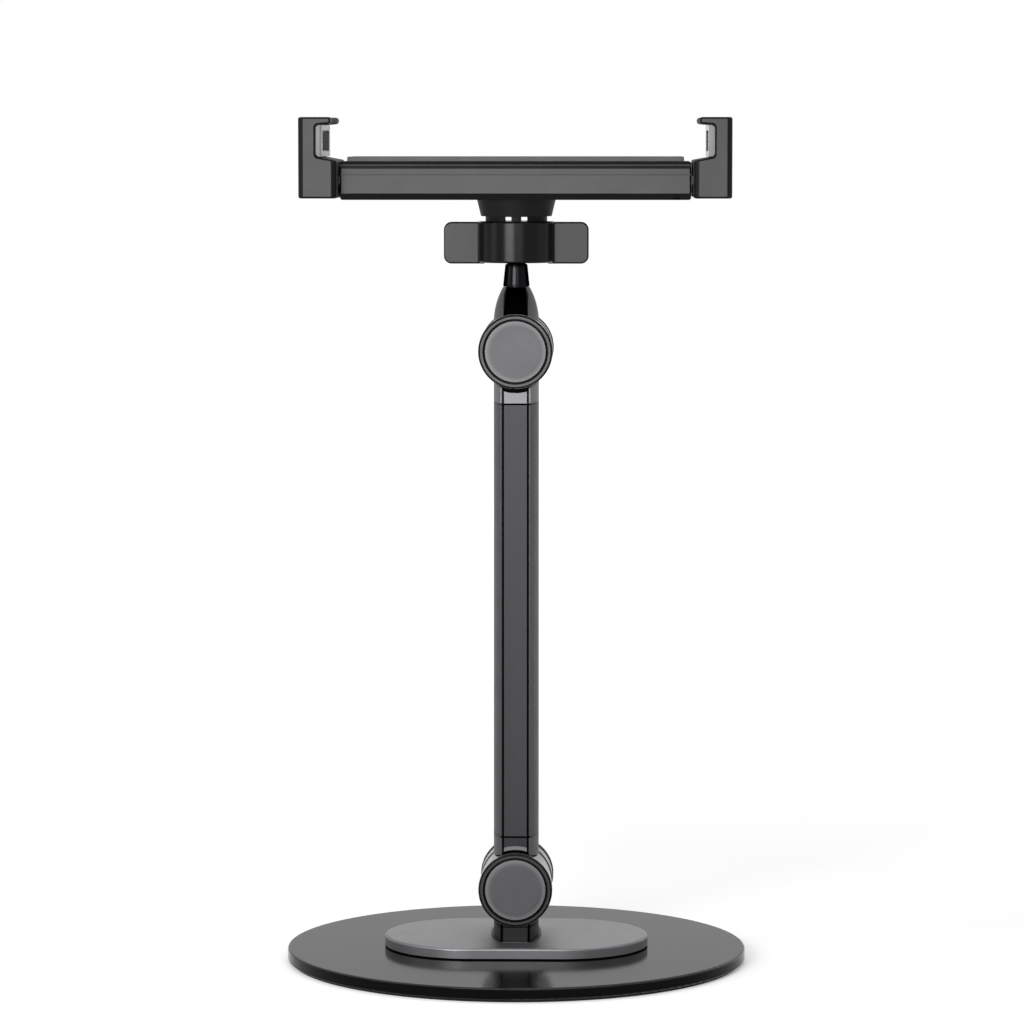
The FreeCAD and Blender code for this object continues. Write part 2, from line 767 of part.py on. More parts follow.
def spring_washers(label, z):
    """A pair of disc springs, dished towards each other, that keep the knuckle's drag steady."""
    height = d.disc_spring_thickness + d.disc_spring_rise
    bore = d.bolt_radius + d.hole_clearance
    rings = []
    for n, (seat, turn) in enumerate(((bolt_seat, TO_REAR), (bolt_seat + height * 2, TO_FRONT)), 1):
        plate = doc.addObject("Part::Cone", f"{label}_dish_{n}")
        bind(plate, "Radius1", d.disc_spring_radius)
        bind(plate, "Radius2", bore + d.disc_spring_thickness)
        bind(plate, "Height", height)
        scoop = doc.addObject("Part::Cone", f"{label}_scoop_{n}")
        bind(scoop, "Radius1", d.disc_spring_radius - d.disc_spring_thickness)
        bind(scoop, "Radius2", bore)
        bind(scoop, "Height", d.disc_spring_rise)
        hole = doc.addObject("Part::Cylinder", f"{label}_hole_{n}")
        bind(hole, "Radius", bore)
        bind(hole, "Height", height)
        void = doc.addObject("Part::Fuse", f"{label}_void_{n}")
        void.Base = scoop
        void.Tool = hole
        ring = doc.addObject("Part::Cut", f"{label}_{n}")
        ring.Base = plate
        ring.Tool = void
        rings.append(place(ring, 0, seat, 0, turn))
    group = doc.addObject("Part::Compound", label)
    group.Label = label
    group.Links = rings
    return place(group, z=z)


def bezel(label, z, turn):
    """Ring that closes the barrel's end, with a pocket for the cap."""
    body = new_body(label, z=z, turn=turn)
    floor = d.barrel_half + d.bezel_floor
    inner = d.cap_radius + d.cap_groove
    rim = d.bezel_radius - d.bezel_edge
    revolve(body, "ring", "XY_Plane", [
        (d.counterbore_radius, -d.barrel_half), (d.counterbore_radius, -floor),
        (inner, -floor), (inner, -bezel_face), (rim, -bezel_face, -d.bezel_edge),
        (d.bezel_radius, d.bezel_edge - bezel_face), (d.bezel_radius, -d.barrel_half),
    ])
    return body


def cap(label, z, turn):
    """Cover disc in the bezel, with a bevelled rim."""
    body = new_body(label, z=z, turn=turn)
    floor = d.barrel_half + d.bezel_floor
    face = bezel_face
    rim = face - d.cap_bevel
    revolve(body, "disc", "XY_Plane", [
        (0, -floor), (0, -face), (d.cap_land, -face), (d.cap_radius, -rim), (d.cap_radius, -floor),
    ])
    return body


def knuckle(level, z):
    """The pivot's hardware and the two closed ends of one knuckle."""
    return [
        pivot_bolt(f"{level}_pivot_bolt", z),
        lock_nut(f"{level}_lock_nut", z),
        spring_washers(f"{level}_spring_washers", z),
        friction_washers(f"{level}_friction_washers", z),
        bezel(f"{level}_front_bezel", z, UPRIGHT),
        bezel(f"{level}_rear_bezel", z, ABOUT_Z),
        cap(f"{level}_front_cap", z, UPRIGHT),
        cap(f"{level}_rear_cap", z, ABOUT_Z),
    ]


# Mast

def mast_tube():
    body = new_body("mast_tube", z=lower_axis + d.seam_offset)
    sketch = sketch_on(body, "XY_Plane", "section")
    lens(sketch, d.mast_half_width, mast_half_depth, d.mast_flat)
    lens(sketch, d.mast_half_width - d.mast_wall, mast_floor - d.mast_wall,
         d.mast_flat - d.mast_wall / 2)
    pad(body, "extrusion", sketch, mast_length)
    half_channel = d.strip_width / 2 + d.strip_groove
    channels = sketch_on(body, "XY_Plane", "channels")
    proud = mast_half_depth + d.strip_depth
    rectangle(channels, -half_channel, half_channel, -proud, -mast_floor)
    rectangle(channels, -half_channel, half_channel, mast_floor, proud)
    pocket(body, "channel_cut", channels, mast_length, backwards=True)
    hole = d.small_screw_radius + d.hole_clearance
    head = d.small_screw_head + d.hole_clearance
    ends = (("low", d.spigot_screw_z), ("high", mast_length - d.spigot_screw_z))
    for name, z in ends:
        drill(body, f"front_{name}", hole, d.mast_wall * 2, 0, -mast_floor, z, head, TO_REAR)
        drill(body, f"rear_{name}", hole, d.mast_wall * 2, 0, mast_floor, z, head, TO_FRONT)
    return body


def mast_strip(label, side):
    """Flat strip inlaid in the mast's channel."""
    body = new_body(label, z=lower_axis + d.seam_offset)
    sketch = sketch_on(body, "XY_Plane", "section")
    half = d.strip_width / 2
    if side == "front":
        rectangle(sketch, -half, half, -mast_half_depth, -mast_floor)
    else:
        rectangle(sketch, -half, half, mast_floor, mast_half_depth)
    pad(body, "strip", sketch, mast_length)
    return body


def tongue_screws(label, z):
    spots = [(0, -mast_floor, z, TO_REAR), (0, mast_floor, z, TO_FRONT)]
    return screw_group(label, spots, d.small_screw_radius, d.small_screw_head, d.small_screw_length)


# Ball joint

def ball_stud():
    """Ball, waist, tapered stem and threaded shank, turned in one piece."""
    body = new_body("ball_stud", z=ball_centre)
    crown = height_on(d.ball_radius, d.ball_flat)
    waist = height_on(d.ball_radius, d.ball_neck_radius)
    foot = d.ball_height - d.neck_height - d.stem_seat_gap
    widening = d.stem_radius - d.ball_neck_radius
    shank_end = foot + d.shank_length - d.stem_seat_gap * 2
    revolve(body, "turned", "XZ_Plane", [
        (0, -shank_end), (d.shank_radius, -shank_end), (d.shank_radius, -foot),
        (d.stem_foot_radius, -foot), (d.stem_foot_radius, d.stem_seat_gap * 3 - foot),
        (d.stem_radius, -d.stem_length), (d.ball_neck_radius, widening / 2 - d.stem_length),
        (d.ball_neck_radius, -waist, d.ball_radius), (d.ball_radius, 0, d.ball_radius),
        (crown, d.ball_flat), (0, d.ball_flat),
    ])
    return body


def ball_seat():
    """Nylon ring between the ball and the roof of its socket."""
    body = new_body("ball_seat", z=ball_centre)
    ball = d.ball_radius + d.ball_fit
    top = d.ball_flat
    revolve(body, "ring", "XZ_Plane", [
        (height_on(ball, top), top, -ball), (d.seat_radius, height_on(ball, d.seat_radius)),
        (d.seat_radius, top),
    ])
    return body


def swept_stem(depth, radius):
    """How far out the tilted stem, of this radius, reaches at a depth below the ball's centre."""
    reach = depth * tangent(d.tilt_limit) + radius / cosine(d.tilt_limit)
    return reach + d.wing_nut_gap


def wing_nut():
    """Clamping nut: barrel with two flat wings, and a flared mouth that clears the stem."""
    body = new_body("wing_nut", z=ball_centre)
    wings = sketch_on(body, "XZ_Plane", "wings")
    half = d.wing_span / 2
    top = d.wing_nut_top - d.wing_nut_edge / 3
    depth = d.wing_nut_bottom + d.wing_drop
    low = -depth
    inner = half - d.wing_corner
    outline(wings, [
        (-inner, low), (inner, low, d.wing_corner), (half, low + d.wing_corner),
        (half, top - d.wing_corner, d.wing_corner), (inner, top), (-inner, top, d.wing_corner),
        (-half, top - d.wing_corner), (-half, low + d.wing_corner, d.wing_corner),
    ])
    pad(body, "wing_pad", wings, d.wing_thickness, symmetric=True)
    round_edges(body, "wing_rounding", d.wing_edge, lambda edge: lies_at(edge, "Y", d.wing_thickness / 2)
                or lies_at(edge, "Y", -d.wing_thickness / 2))
    rim = d.wing_nut_radius - d.wing_nut_edge
    revolve(body, "barrel", "XZ_Plane", [
        (0, -d.wing_nut_bottom), (rim, -d.wing_nut_bottom, d.wing_nut_edge),
        (d.wing_nut_radius, d.wing_nut_edge - d.wing_nut_bottom),
        (d.wing_nut_radius, d.wing_nut_top - d.wing_nut_edge, d.wing_nut_edge),
        (rim, d.wing_nut_top), (0, d.wing_nut_top),
    ])
    floor = d.socket_mouth + d.wing_nut_lip
    revolve(body, "bore", "XZ_Plane", [
        (0, low), (swept_stem(depth, d.stem_foot_radius), low),
        (swept_stem(floor, d.stem_radius), -floor), (d.collet_lip_radius + d.wing_nut_gap, -floor),
        (d.collet_radius + d.wing_nut_gap, d.collet_taper - floor),
        (d.collet_radius + d.wing_nut_gap, d.wing_nut_top), (0, d.wing_nut_top),
    ], kind="Groove")
    return body


# Holder

def corner_pillars():
    """The two pillars in corners that the arms' lugs never reach, as (x, y)."""
    x = d.housing_half_length - d.outer_pillar_inset
    y = d.housing_half_depth - d.shell_wall - d.outer_pillar_radius + d.outer_pillar_sink
    return [(-x, y), (x, -y)]


def inner_pillars():
    return [(-d.inner_pillar_x, Size.of(0)), (d.inner_pillar_x, Size.of(0))]


def at_bar_end(edge, open_height):
    """True for the outer edges of the bar's two end faces, apart from the one at the open side."""
    end = d.housing_half_length
    return (lies_at(edge, "X", end) or lies_at(edge, "X", -end)) and not lies_at(edge, "Z", open_height)


def holder_base():
    """Lower shell of the bar, with the boss and the slotted collet moulded under it."""
    body = new_body("holder_base", z=ball_centre)
    half = d.housing_half_depth
    flat = half - d.shell_bevel_depth
    upright = d.housing_height + d.shell_bevel_height
    section = sketch_on(body, "YZ_Plane", "section")
    outline(section, [
        (-flat, d.housing_height), (flat, d.housing_height), (half, upright), (half, parting),
        (-half, parting), (-half, upright),
    ])
    pad(body, "shell", section, d.housing_half_length * 2, symmetric=True)
    round_edges(body, "end_bevel", d.shell_end_bevel, lambda edge: at_bar_end(edge, parting), "Chamfer")
    well = sketch_on(body, "XY_Plane", "well", parting)
    end = d.housing_half_length - d.shell_wall
    side = half - d.shell_wall
    rectangle(well, -end, end, -side, side)
    pocket(body, "well_cut", well, parting - floor_top)
    doorway = sketch_on(body, "XY_Plane", "doorway", parting)
    opening = d.arm_half_width + d.arm_gap
    rectangle(doorway, -d.housing_half_length, d.housing_half_length, -opening, opening)
    pocket(body, "doorway_cut", doorway, parting - rail_top)
    rails = sketch_on(body, "XY_Plane", "rails", floor_top)
    for near in (d.rail_y - d.rail_width / 2, -d.rail_y - d.rail_width / 2):
        rectangle(rails, -end, end, near, near + d.rail_width)
    pad(body, "rail_pad", rails, rail_top - floor_top)
    bumps = sketch_on(body, "XY_Plane", "bumps", floor_top)
    for x, y in inner_pillars():
        circle(bumps, d.inner_pillar_radius, x, y)
    pad(body, "inner_pillars", bumps, parting - floor_top)
    corners = sketch_on(body, "XY_Plane", "corner_bumps", floor_top)
    for x, y in corner_pillars():
        circle(corners, d.outer_pillar_radius, x, y)
    pad(body, "outer_pillars", corners, parting - floor_top)
    posts = sketch_on(body, "XY_Plane", "spring_posts", floor_top)
    start = d.spring_post_x
    stop = start + d.spring_post_length
    near = d.arm_half_width + d.arm_gap
    rectangle(posts, start, stop, near, side)
    rectangle(posts, -stop, -start, -side, -near)
    pad(body, "spring_post_pad", posts, parting - floor_top)
    seat = sketch_on(body, "XY_Plane", "pinion_seat", floor_top)
    circle(seat, d.axle_boss_radius)
    pad(body, "pinion_boss", seat, arm_bottom - floor_top)
    bore = d.axle_radius + d.axle_fit
    drill(body, "axle_hole", bore, arm_bottom - floor_top, 0, 0, floor_top)
    for n, (x, y) in enumerate(inner_pillars() + corner_pillars(), 1):
        drill(body, f"screw_hole_{n}", d.pillar_screw_radius + d.hole_clearance / 2,
              d.base_shell_depth, x, y, d.housing_height, d.pillar_screw_head + d.hole_clearance)
    revolve(body, "collet", "XZ_Plane", [
        (0, -d.socket_mouth), (d.collet_lip_radius, -d.socket_mouth),
        (d.collet_radius, d.collet_taper - d.socket_mouth), (d.collet_radius, d.collet_height),
        (d.boss_radius, d.collet_height), (d.boss_top_radius, d.housing_height),
        (0, d.housing_height),
    ])
    ball = d.ball_radius + d.ball_fit
    mouth = height_on(ball, d.socket_mouth)
    sleeve = d.seat_radius + d.seat_fit
    ceiling = d.collet_height - d.collet_roof
    revolve(body, "socket", "XZ_Plane", [
        (0, -d.socket_mouth), (mouth, -d.socket_mouth, ball), (ball, 0, ball),
        (sleeve, height_on(ball, sleeve)), (sleeve, d.ball_flat + d.axle_gap),
        (d.crown_radius, d.ball_flat + d.axle_gap), (d.crown_radius, ceiling), (0, ceiling),
    ], kind="Groove")
    slots = sketch_on(body, "XZ_Plane", "slots")
    for middle in (-d.slot_offset, d.slot_offset):
        rectangle(slots, middle - d.slot_width / 2, middle + d.slot_width / 2, -d.socket_mouth, ceiling)
    pocket(body, "slot_cut", slots, d.collet_radius * 2, symmetric=True)
    side_slots = sketch_on(body, "YZ_Plane", "side_slots")
    rectangle(side_slots, -d.side_slot_width / 2, d.side_slot_width / 2, -d.socket_mouth, ceiling)
    pocket(body, "side_slot_cut", side_slots, d.collet_radius * 2, symmetric=True)
    return body


def holder_cover():
    """Upper shell of the bar, grooved along both sides, with channels for the rest strips."""
    body = new_body("holder_cover", z=ball_centre)
    half = d.housing_half_depth
    flat = half - d.cover_edge
    upright = cover_top - d.cover_edge_height
    section = sketch_on(body, "YZ_Plane", "section")
    outline(section, [
        (-half, parting), (half, parting), (half, upright), (flat, cover_top),
        (-flat, cover_top), (-half, upright),
    ])
    length = d.housing_half_length * 2
    pad(body, "shell", section, length, symmetric=True)
    round_edges(body, "end_bevel", d.shell_end_bevel, lambda edge: at_bar_end(edge, parting), "Chamfer")
    grooves = sketch_on(body, "YZ_Plane", "grooves")
    for low, high, depth in (
        (parting, parting + d.parting_groove, d.parting_groove_depth),
        (upright - d.cover_groove, upright, d.cover_groove_depth),
    ):
        rectangle(grooves, half - depth, half + depth, low, high)
        rectangle(grooves, -half - depth, depth - half, low, high)
    pocket(body, "groove_cut", grooves, length, symmetric=True)
    well = sketch_on(body, "XY_Plane", "well", parting)
    end = d.housing_half_length - d.shell_wall
    side = half - d.shell_wall
    rectangle(well, -end, end, -side, side)
    pocket(body, "well_cut", well, cover_roof - parting, backwards=True)
    channels = sketch_on(body, "XY_Plane", "channels", cover_top)
    long_half = d.housing_half_length - d.strip_pad_margin
    for near in (d.strip_pad_y - d.strip_pad_width / 2, -d.strip_pad_y - d.strip_pad_width / 2):
        rectangle(channels, -long_half, long_half, near, near + d.strip_pad_width)
    pocket(body, "channel_cut", channels, d.strip_pad_sink)
    rails = sketch_on(body, "XY_Plane", "rails", cover_roof)
    for near in (d.rail_y - d.rail_width / 2, -d.rail_y - d.rail_width / 2):
        rectangle(rails, -end, end, near, near + d.rail_width)
    pad(body, "rail_pad", rails, cover_roof - arm_top - d.arm_gap, backwards=True)
    bumps = sketch_on(body, "XY_Plane", "bumps", cover_roof)
    for x, y in inner_pillars():
        circle(bumps, d.inner_pillar_radius, x, y)
    pad(body, "inner_pillars", bumps, cover_roof - parting, backwards=True)
    corners = sketch_on(body, "XY_Plane", "corner_bumps", cover_roof)
    for x, y in corner_pillars():
        circle(corners, d.outer_pillar_radius, x, y)
    pad(body, "outer_pillars", corners, cover_roof - parting, backwards=True)
    seat = sketch_on(body, "XY_Plane", "pinion_seat", cover_roof)
    circle(seat, d.axle_boss_radius)
    pad(body, "pinion_boss", seat, cover_roof - arm_top - d.arm_gap, backwards=True)
    axle_top = cover_roof - arm_top - d.arm_gap
    drill(body, "axle_hole", d.axle_radius + d.axle_fit, axle_top, 0, 0, arm_top + d.arm_gap)
    for n, (x, y) in enumerate(inner_pillars() + corner_pillars(), 1):
        drill(body, f"screw_hole_{n}", d.pillar_screw_radius + d.hole_clearance / 2,
              cover_roof - parting, x, y, parting)
    return body


def cover_screws():
    spots = [(x, y, ball_centre + d.housing_height, UPRIGHT) for x, y in inner_pillars() + corner_pillars()]
    length = cover_roof - d.housing_height - d.hole_clearance
    return screw_group("cover_screws", spots, d.pillar_screw_radius, d.pillar_screw_head, length)


def rest_strip(label, side):
    """Rubber strip along the top of the bar, which the tablet's edge rests on."""
    body = new_body(label, y=d.strip_pad_y * side, z=ball_centre + cover_top - d.strip_pad_sink)
    sketch = sketch_on(body, "XY_Plane", "outline")
    long_half = d.housing_half_length - d.strip_pad_margin
    rounded_rectangle(sketch, long_half, d.strip_pad_width / 2, d.strip_pad_edge)
    height = d.strip_pad_height + d.strip_pad_sink
    pad(body, "strip", sketch, height)
    round_edges(body, "edge", d.strip_pad_edge / 2, lambda edge: lies_at(edge, "Z", height))
    return body


def pinion_axle():
    axle = doc.addObject("Part::Cylinder", "pinion_axle")
    axle.Label = "pinion_axle"
    bind(axle, "Radius", d.axle_radius)
    bind(axle, "Height", cover_roof - floor_top)
    return place(axle, z=ball_centre + floor_top)


def involute_angle(radius, base_radius):
    """How far round an involute has swung where it reaches a radius."""
    roll = math.sqrt(max((radius / base_radius) ** 2 - 1, 0))
    return roll - math.atan(roll)


def sync_pinion():
    """Pinion with involute teeth. A gap faces each rack at rest, front and rear."""
    pitch = pitch_radius.value
    base = pitch * math.cos(math.radians(d.pressure_angle.value))
    tip = pitch + d.tooth_tip.value
    bottom = pitch - d.tooth_root.value
    teeth = int(d.pinion_teeth.value)
    half_tooth = (math.pi * d.gear_module.value / 2 - d.backlash.value) / 2 / pitch
    half_tooth += involute_angle(pitch, base)

    def spot(radius, angle):
        return Vector(radius * math.cos(angle), radius * math.sin(angle), 0)

    edges = []
    for n in range(teeth):
        middle = 2 * math.pi * (n + 0.5) / teeth
        following = 2 * math.pi * (n + 1.5) / teeth
        flanks = []
        for side in (-1, 1):
            radii = (base, (base + tip) / 2, tip)
            flank = [spot(r, middle + side * (half_tooth - involute_angle(r, base))) for r in radii]
            flanks.append(flank)
        rising, falling = flanks[0], flanks[1][::-1]
        foot_in = spot(bottom, middle - half_tooth)
        foot_out = spot(bottom, middle + half_tooth)
        next_foot = spot(bottom, following - half_tooth)
        edges.append(Part.LineSegment(foot_in, rising[0]).toShape())
        edges.append(Part.Arc(*rising).toShape())
        edges.append(Part.Arc(rising[2], spot(tip, middle), falling[0]).toShape())
        edges.append(Part.Arc(*falling).toShape())
        edges.append(Part.LineSegment(falling[2], foot_out).toShape())
        edges.append(Part.Arc(foot_out, spot(bottom, (middle + following) / 2), next_foot).toShape())
    blank = Part.Face(Part.Wire(edges))
    thickness = d.arm_thickness.value - 2 * d.axle_gap.value
    gear = blank.extrude(Vector(0, 0, thickness))
    bore = Part.makeCylinder(d.axle_radius.value + d.axle_fit.value, thickness)
    item = doc.addObject("Part::Feature", "sync_pinion")
    item.Label = "sync_pinion"
    item.Shape = gear.cut(bore)
    return place(item, z=ball_centre + arm_bottom + d.axle_gap)


def spring(label, side):
    """Extension spring between a post of the housing and the lug of an arm, as its sleeve."""
    start = d.spring_post_x + d.spring_post_length
    length = arm_start - start
    outer = doc.addObject("Part::Cylinder", f"{label}_outer")
    bind(outer, "Radius", d.spring_radius)
    bind(outer, "Height", length)
    inner = doc.addObject("Part::Cylinder", f"{label}_inner")
    bind(inner, "Radius", d.spring_radius - d.spring_wire)
    bind(inner, "Height", length)
    sleeve = doc.addObject("Part::Cut", label)
    sleeve.Label = label
    sleeve.Base = outer
    sleeve.Tool = inner
    x = start if side > 0 else -(start + length)
    middle = ball_centre + (arm_bottom + arm_top) / 2
    return place(sleeve, x, d.spring_y * side, middle, TO_RIGHT)


def arm(label, turn):
    """Sliding plate of one jaw, with a toothed finger that passes the pinion."""
    body = new_body(label, z=ball_centre + arm_bottom, turn=turn)
    inner = -(pitch_radius + d.tooth_root)
    far = jaw_inner + d.arm_socket
    sketch = sketch_on(body, "XY_Plane", "outline")
    outline(sketch, [
        (-d.finger_reach, -d.finger_outer), (arm_start, -d.finger_outer),
        (arm_start, -d.arm_half_width), (far, -d.arm_half_width), (far, d.arm_half_width),
        (arm_start + d.lug_length, d.arm_half_width), (arm_start + d.lug_length, d.lug_side),
        (arm_start, d.lug_side), (arm_start, inner), (-d.finger_reach, inner),
    ])
    pad(body, "plate", sketch, d.arm_thickness)
    pitch = d.gear_module * math.pi
    slope = tangent(d.pressure_angle)
    half = (pitch / 2 - d.backlash) / 2
    foot = half + d.tooth_root * slope
    crest = half - d.tooth_tip * slope
    line = -pitch_radius
    tooth = sketch_on(body, "XY_Plane", "tooth")
    outline(tooth, [
        (-foot, line - d.tooth_root), (foot, line - d.tooth_root),
        (crest, line + d.tooth_tip), (-crest, line + d.tooth_tip),
    ])
    first = pad(body, "tooth_pad", tooth, d.arm_thickness)
    behind = int((d.finger_reach.value - foot.value) / pitch.value)
    ahead = int(d.finger_lead.value / pitch.value)
    pattern = body.newObject("PartDesign::LinearPattern", f"{label}_rack")
    pattern.Originals = [first]
    pattern.Direction = (tooth, ["H_Axis"])
    pattern.Mode = "Spacing"
    bind(pattern, "Offset", pitch)
    pattern.Occurrences = ahead + 1
    pattern.Mode2 = "Spacing"
    pattern.Direction2 = (tooth, ["H_Axis"])
    pattern.Reversed2 = True
    bind(pattern, "Offset2", pitch)
    pattern.Occurrences2 = behind + 1
    body.Tip = pattern
    middle = jaw_inner + d.arm_socket / 2
    for n, side in enumerate((-1, 1), 1):
        drill(body, f"thread_{n}", d.small_screw_radius + d.hole_clearance / 2, d.arm_thickness,
              middle, d.jaw_screw_y * side, 0)
    return body


def jaw(label, turn):
    """One jaw: a block at the bar's end, an upright wall and two hooked lips, rounded all over."""
    body = new_body(label, z=ball_centre, turn=turn)
    depth = d.jaw_half_depth
    block_top = d.jaw_bottom + d.jaw_block_height
    block_lip = block_top - d.jaw_block_slope
    tip = jaw_outer - d.lip_length
    sketch = sketch_on(body, "XZ_Plane", "profile")
    outline(sketch, [
        (jaw_inner, d.jaw_bottom), (jaw_outer, d.jaw_bottom), (jaw_outer, jaw_top), (tip, jaw_top),
        (tip, jaw_top - d.lip_tip_thickness), (wall_inner, lip_bottom), (wall_inner, block_top),
        (jaw_inner, block_lip),
    ])
    pad(body, "profile_pad", sketch, depth * 2, symmetric=True)
    round_edges(body, "slot_corners", d.jaw_slot_corner, lambda edge: lies_at(edge, "X", wall_inner)
                and (lies_at(edge, "Z", lip_bottom) or lies_at(edge, "Z", block_top)))
    round_edges(body, "tips", d.lip_tip_round, lambda edge: lies_at(edge, "X", tip)
                and edge.BoundBox.YLength > depth.value)

    def at_end(edge):
        return lies_at(edge, "Y", depth) or lies_at(edge, "Y", -depth)

    round_edges(body, "outer_corners", d.jaw_outer_corner,
                lambda edge: lies_at(edge, "X", jaw_outer) and at_end(edge))
    round_edges(body, "inner_corners", d.jaw_inner_corner,
                lambda edge: lies_at(edge, "X", jaw_inner) and at_end(edge))
    rounded = (jaw_outer - d.jaw_outer_corner, jaw_inner + d.jaw_inner_corner)
    round_edges(body, "rims", d.jaw_edge,
                lambda edge: at_end(edge) and not any(lies_at(edge, "X", x) for x in rounded))
    gap = sketch_on(body, "XZ_Plane", "lip_gap")
    rectangle(gap, tip, wall_inner, lip_bottom - d.jaw_slot_corner, jaw_top)
    pocket(body, "lip_gap_cut", gap, (depth - d.lip_width) * 2, symmetric=True)
    socket = sketch_on(body, "XY_Plane", "socket", arm_bottom)
    wide = d.arm_half_width
    rectangle(socket, jaw_inner, jaw_inner + d.arm_socket, -wide, wide)
    pocket(body, "socket_cut", socket, d.arm_thickness, backwards=True)
    middle = jaw_inner + d.arm_socket / 2
    for n, side in enumerate((-1, 1), 1):
        drill(body, f"hole_{n}", d.small_screw_radius + d.hole_clearance, arm_bottom - d.jaw_bottom,
              middle, d.jaw_screw_y * side, d.jaw_bottom, d.small_screw_head + d.hole_clearance)
    return body


def jaw_screws(label, side):
    middle = (jaw_inner + d.arm_socket / 2) * side
    z = ball_centre + d.jaw_bottom
    spots = [(middle, d.jaw_screw_y * end, z, UPRIGHT) for end in (-1, 1)]
    length = arm_top - d.jaw_bottom - d.hole_clearance
    return screw_group(label, spots, d.small_screw_radius, d.small_screw_head, length)


def jaw_pad(label, turn):
    """Soft pad that fills the jaw's slot against the wall, with a sunk window in its middle."""
    body = new_body(label, z=ball_centre, turn=turn)
    low = d.jaw_bottom + d.jaw_block_height
    face = wall_inner - d.pad_depth
    corner = d.jaw_slot_corner + d.pad_corner_gap
    sketch = sketch_on(body, "XZ_Plane", "section")
    outline(sketch, [
        (face, low), (wall_inner - corner, low, corner), (wall_inner, low + corner),
        (wall_inner, lip_bottom - corner, corner), (wall_inner - corner, lip_bottom), (face, lip_bottom),
    ])
    pad(body, "sheet", sketch, (d.jaw_half_depth - d.pad_end_margin) * 2, symmetric=True)
    middle = (low + lip_bottom) / 2
    window = sketch_on(body, "YZ_Plane", "window", face)
    rise = d.pad_window_height / 2
    rectangle(window, -d.pad_window / 2, d.pad_window / 2, middle - rise, middle + rise)
    pocket(body, "window_cut", window, d.pad_window_depth, backwards=True)
    return body


def side_of_holder(side, turn):
    """The jaw, arm, pad and screws of one side."""
    name = "right" if side > 0 else "left"
    return [
        jaw(f"{name}_jaw", turn),
        arm(f"{name}_arm", turn),
        jaw_pad(f"{name}_pad", turn),
        jaw_screws(f"{name}_jaw_screws", side),
        spring(f"{name}_spring", side),
    ]


parts = [base_pad(), base_plate(), foot_gasket(), foot_plate(), base_screws(), post_screws(), post_fork()]
parts += knuckle("lower", lower_axis)
parts += [mast_tube(), mast_strip("mast_front_strip", "front"), mast_strip("mast_rear_strip", "rear")]
parts.append(tongue("lower_tongue", lower_axis, UPRIGHT))
parts.append(tongue("upper_tongue", upper_axis, UPSIDE_DOWN))
parts.append(tongue_screws("lower_tongue_screws", lower_axis + d.seam_offset + d.spigot_screw_z))
parts.append(tongue_screws("upper_tongue_screws", upper_axis - d.seam_offset - d.spigot_screw_z))
parts.append(neck_fork())
parts += knuckle("upper", upper_axis)
parts += [ball_stud(), ball_seat(), wing_nut()]
parts += [holder_base(), holder_cover(), cover_screws()]
parts += [rest_strip("front_rest_strip", -1), rest_strip("rear_rest_strip", 1)]
parts += [pinion_axle(), sync_pinion()]
parts += side_of_holder(-1, ABOUT_Z)
parts += side_of_holder(1, UPRIGHT)

doc.recompute()
for item in doc.Objects:
    if "Invalid" in item.State or "Error" in item.State:
        raise RuntimeError(f"{item.Label} did not build: {item.State}")
for item in parts:
    if item.Shape.isNull() or not item.Shape.isValid() or item.Shape.Volume <= 0:
        raise RuntimeError(f"{item.Label} has no valid solid")

os.makedirs("parts", exist_ok=True)
for item in parts:
    item.Shape.exportStep(f"parts/{item.Label}.step")
    print(item.Label, len(item.Shape.Solids), round(item.Shape.Volume, 1))
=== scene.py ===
# %% [markdown]
# Tablet desk stand
#
# The real stand is a weighted steel disc, a black anodised mast between two friction knuckles, a ball
# joint with a wing nut, and a sprung holder for a tablet. The rigid pieces come with the frame at their
# real size. This lesson gives each of them its finish, models the soft pieces and the screws that need
# more than a plain solid, and sets up a camera and lamps to photograph the whole against white.

# %% Load the frame
import math

import bmesh
import bpy
from mathutils import Matrix, Vector


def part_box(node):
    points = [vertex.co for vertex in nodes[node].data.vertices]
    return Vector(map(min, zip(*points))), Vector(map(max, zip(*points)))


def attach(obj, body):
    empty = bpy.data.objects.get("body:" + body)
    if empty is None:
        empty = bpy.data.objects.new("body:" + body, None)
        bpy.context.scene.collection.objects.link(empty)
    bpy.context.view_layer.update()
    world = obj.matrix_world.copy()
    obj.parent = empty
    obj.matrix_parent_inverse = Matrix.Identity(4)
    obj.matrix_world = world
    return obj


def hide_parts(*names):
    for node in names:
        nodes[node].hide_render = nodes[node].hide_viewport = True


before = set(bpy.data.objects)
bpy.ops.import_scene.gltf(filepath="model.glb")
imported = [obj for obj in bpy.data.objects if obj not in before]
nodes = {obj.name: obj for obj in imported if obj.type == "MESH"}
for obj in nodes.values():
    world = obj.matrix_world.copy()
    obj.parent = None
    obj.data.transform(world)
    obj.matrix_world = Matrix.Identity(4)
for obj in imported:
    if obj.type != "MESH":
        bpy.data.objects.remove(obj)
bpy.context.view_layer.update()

MM = 0.001

# %% [markdown]
# Two helpers for materials
#
# A colour is chosen on screen as an sRGB hex value, but a shader works on linear light, so one function
# turns the first into the second. Every material is a small tree of nodes. Another function adds a node,
# sets its options, and fills or links its sockets, which keeps each tree readable as a list.


# %% Colour and node helpers
def linear(code):
    """An sRGB hex colour as linear red, green, blue and alpha."""
    channels = [int(code[n:n + 2], 16) / 255 for n in (1, 3, 5)]
    return [c / 12.92 if c <= 0.04045 else ((c + 0.055) / 1.055) ** 2.4 for c in channels] + [1.0]


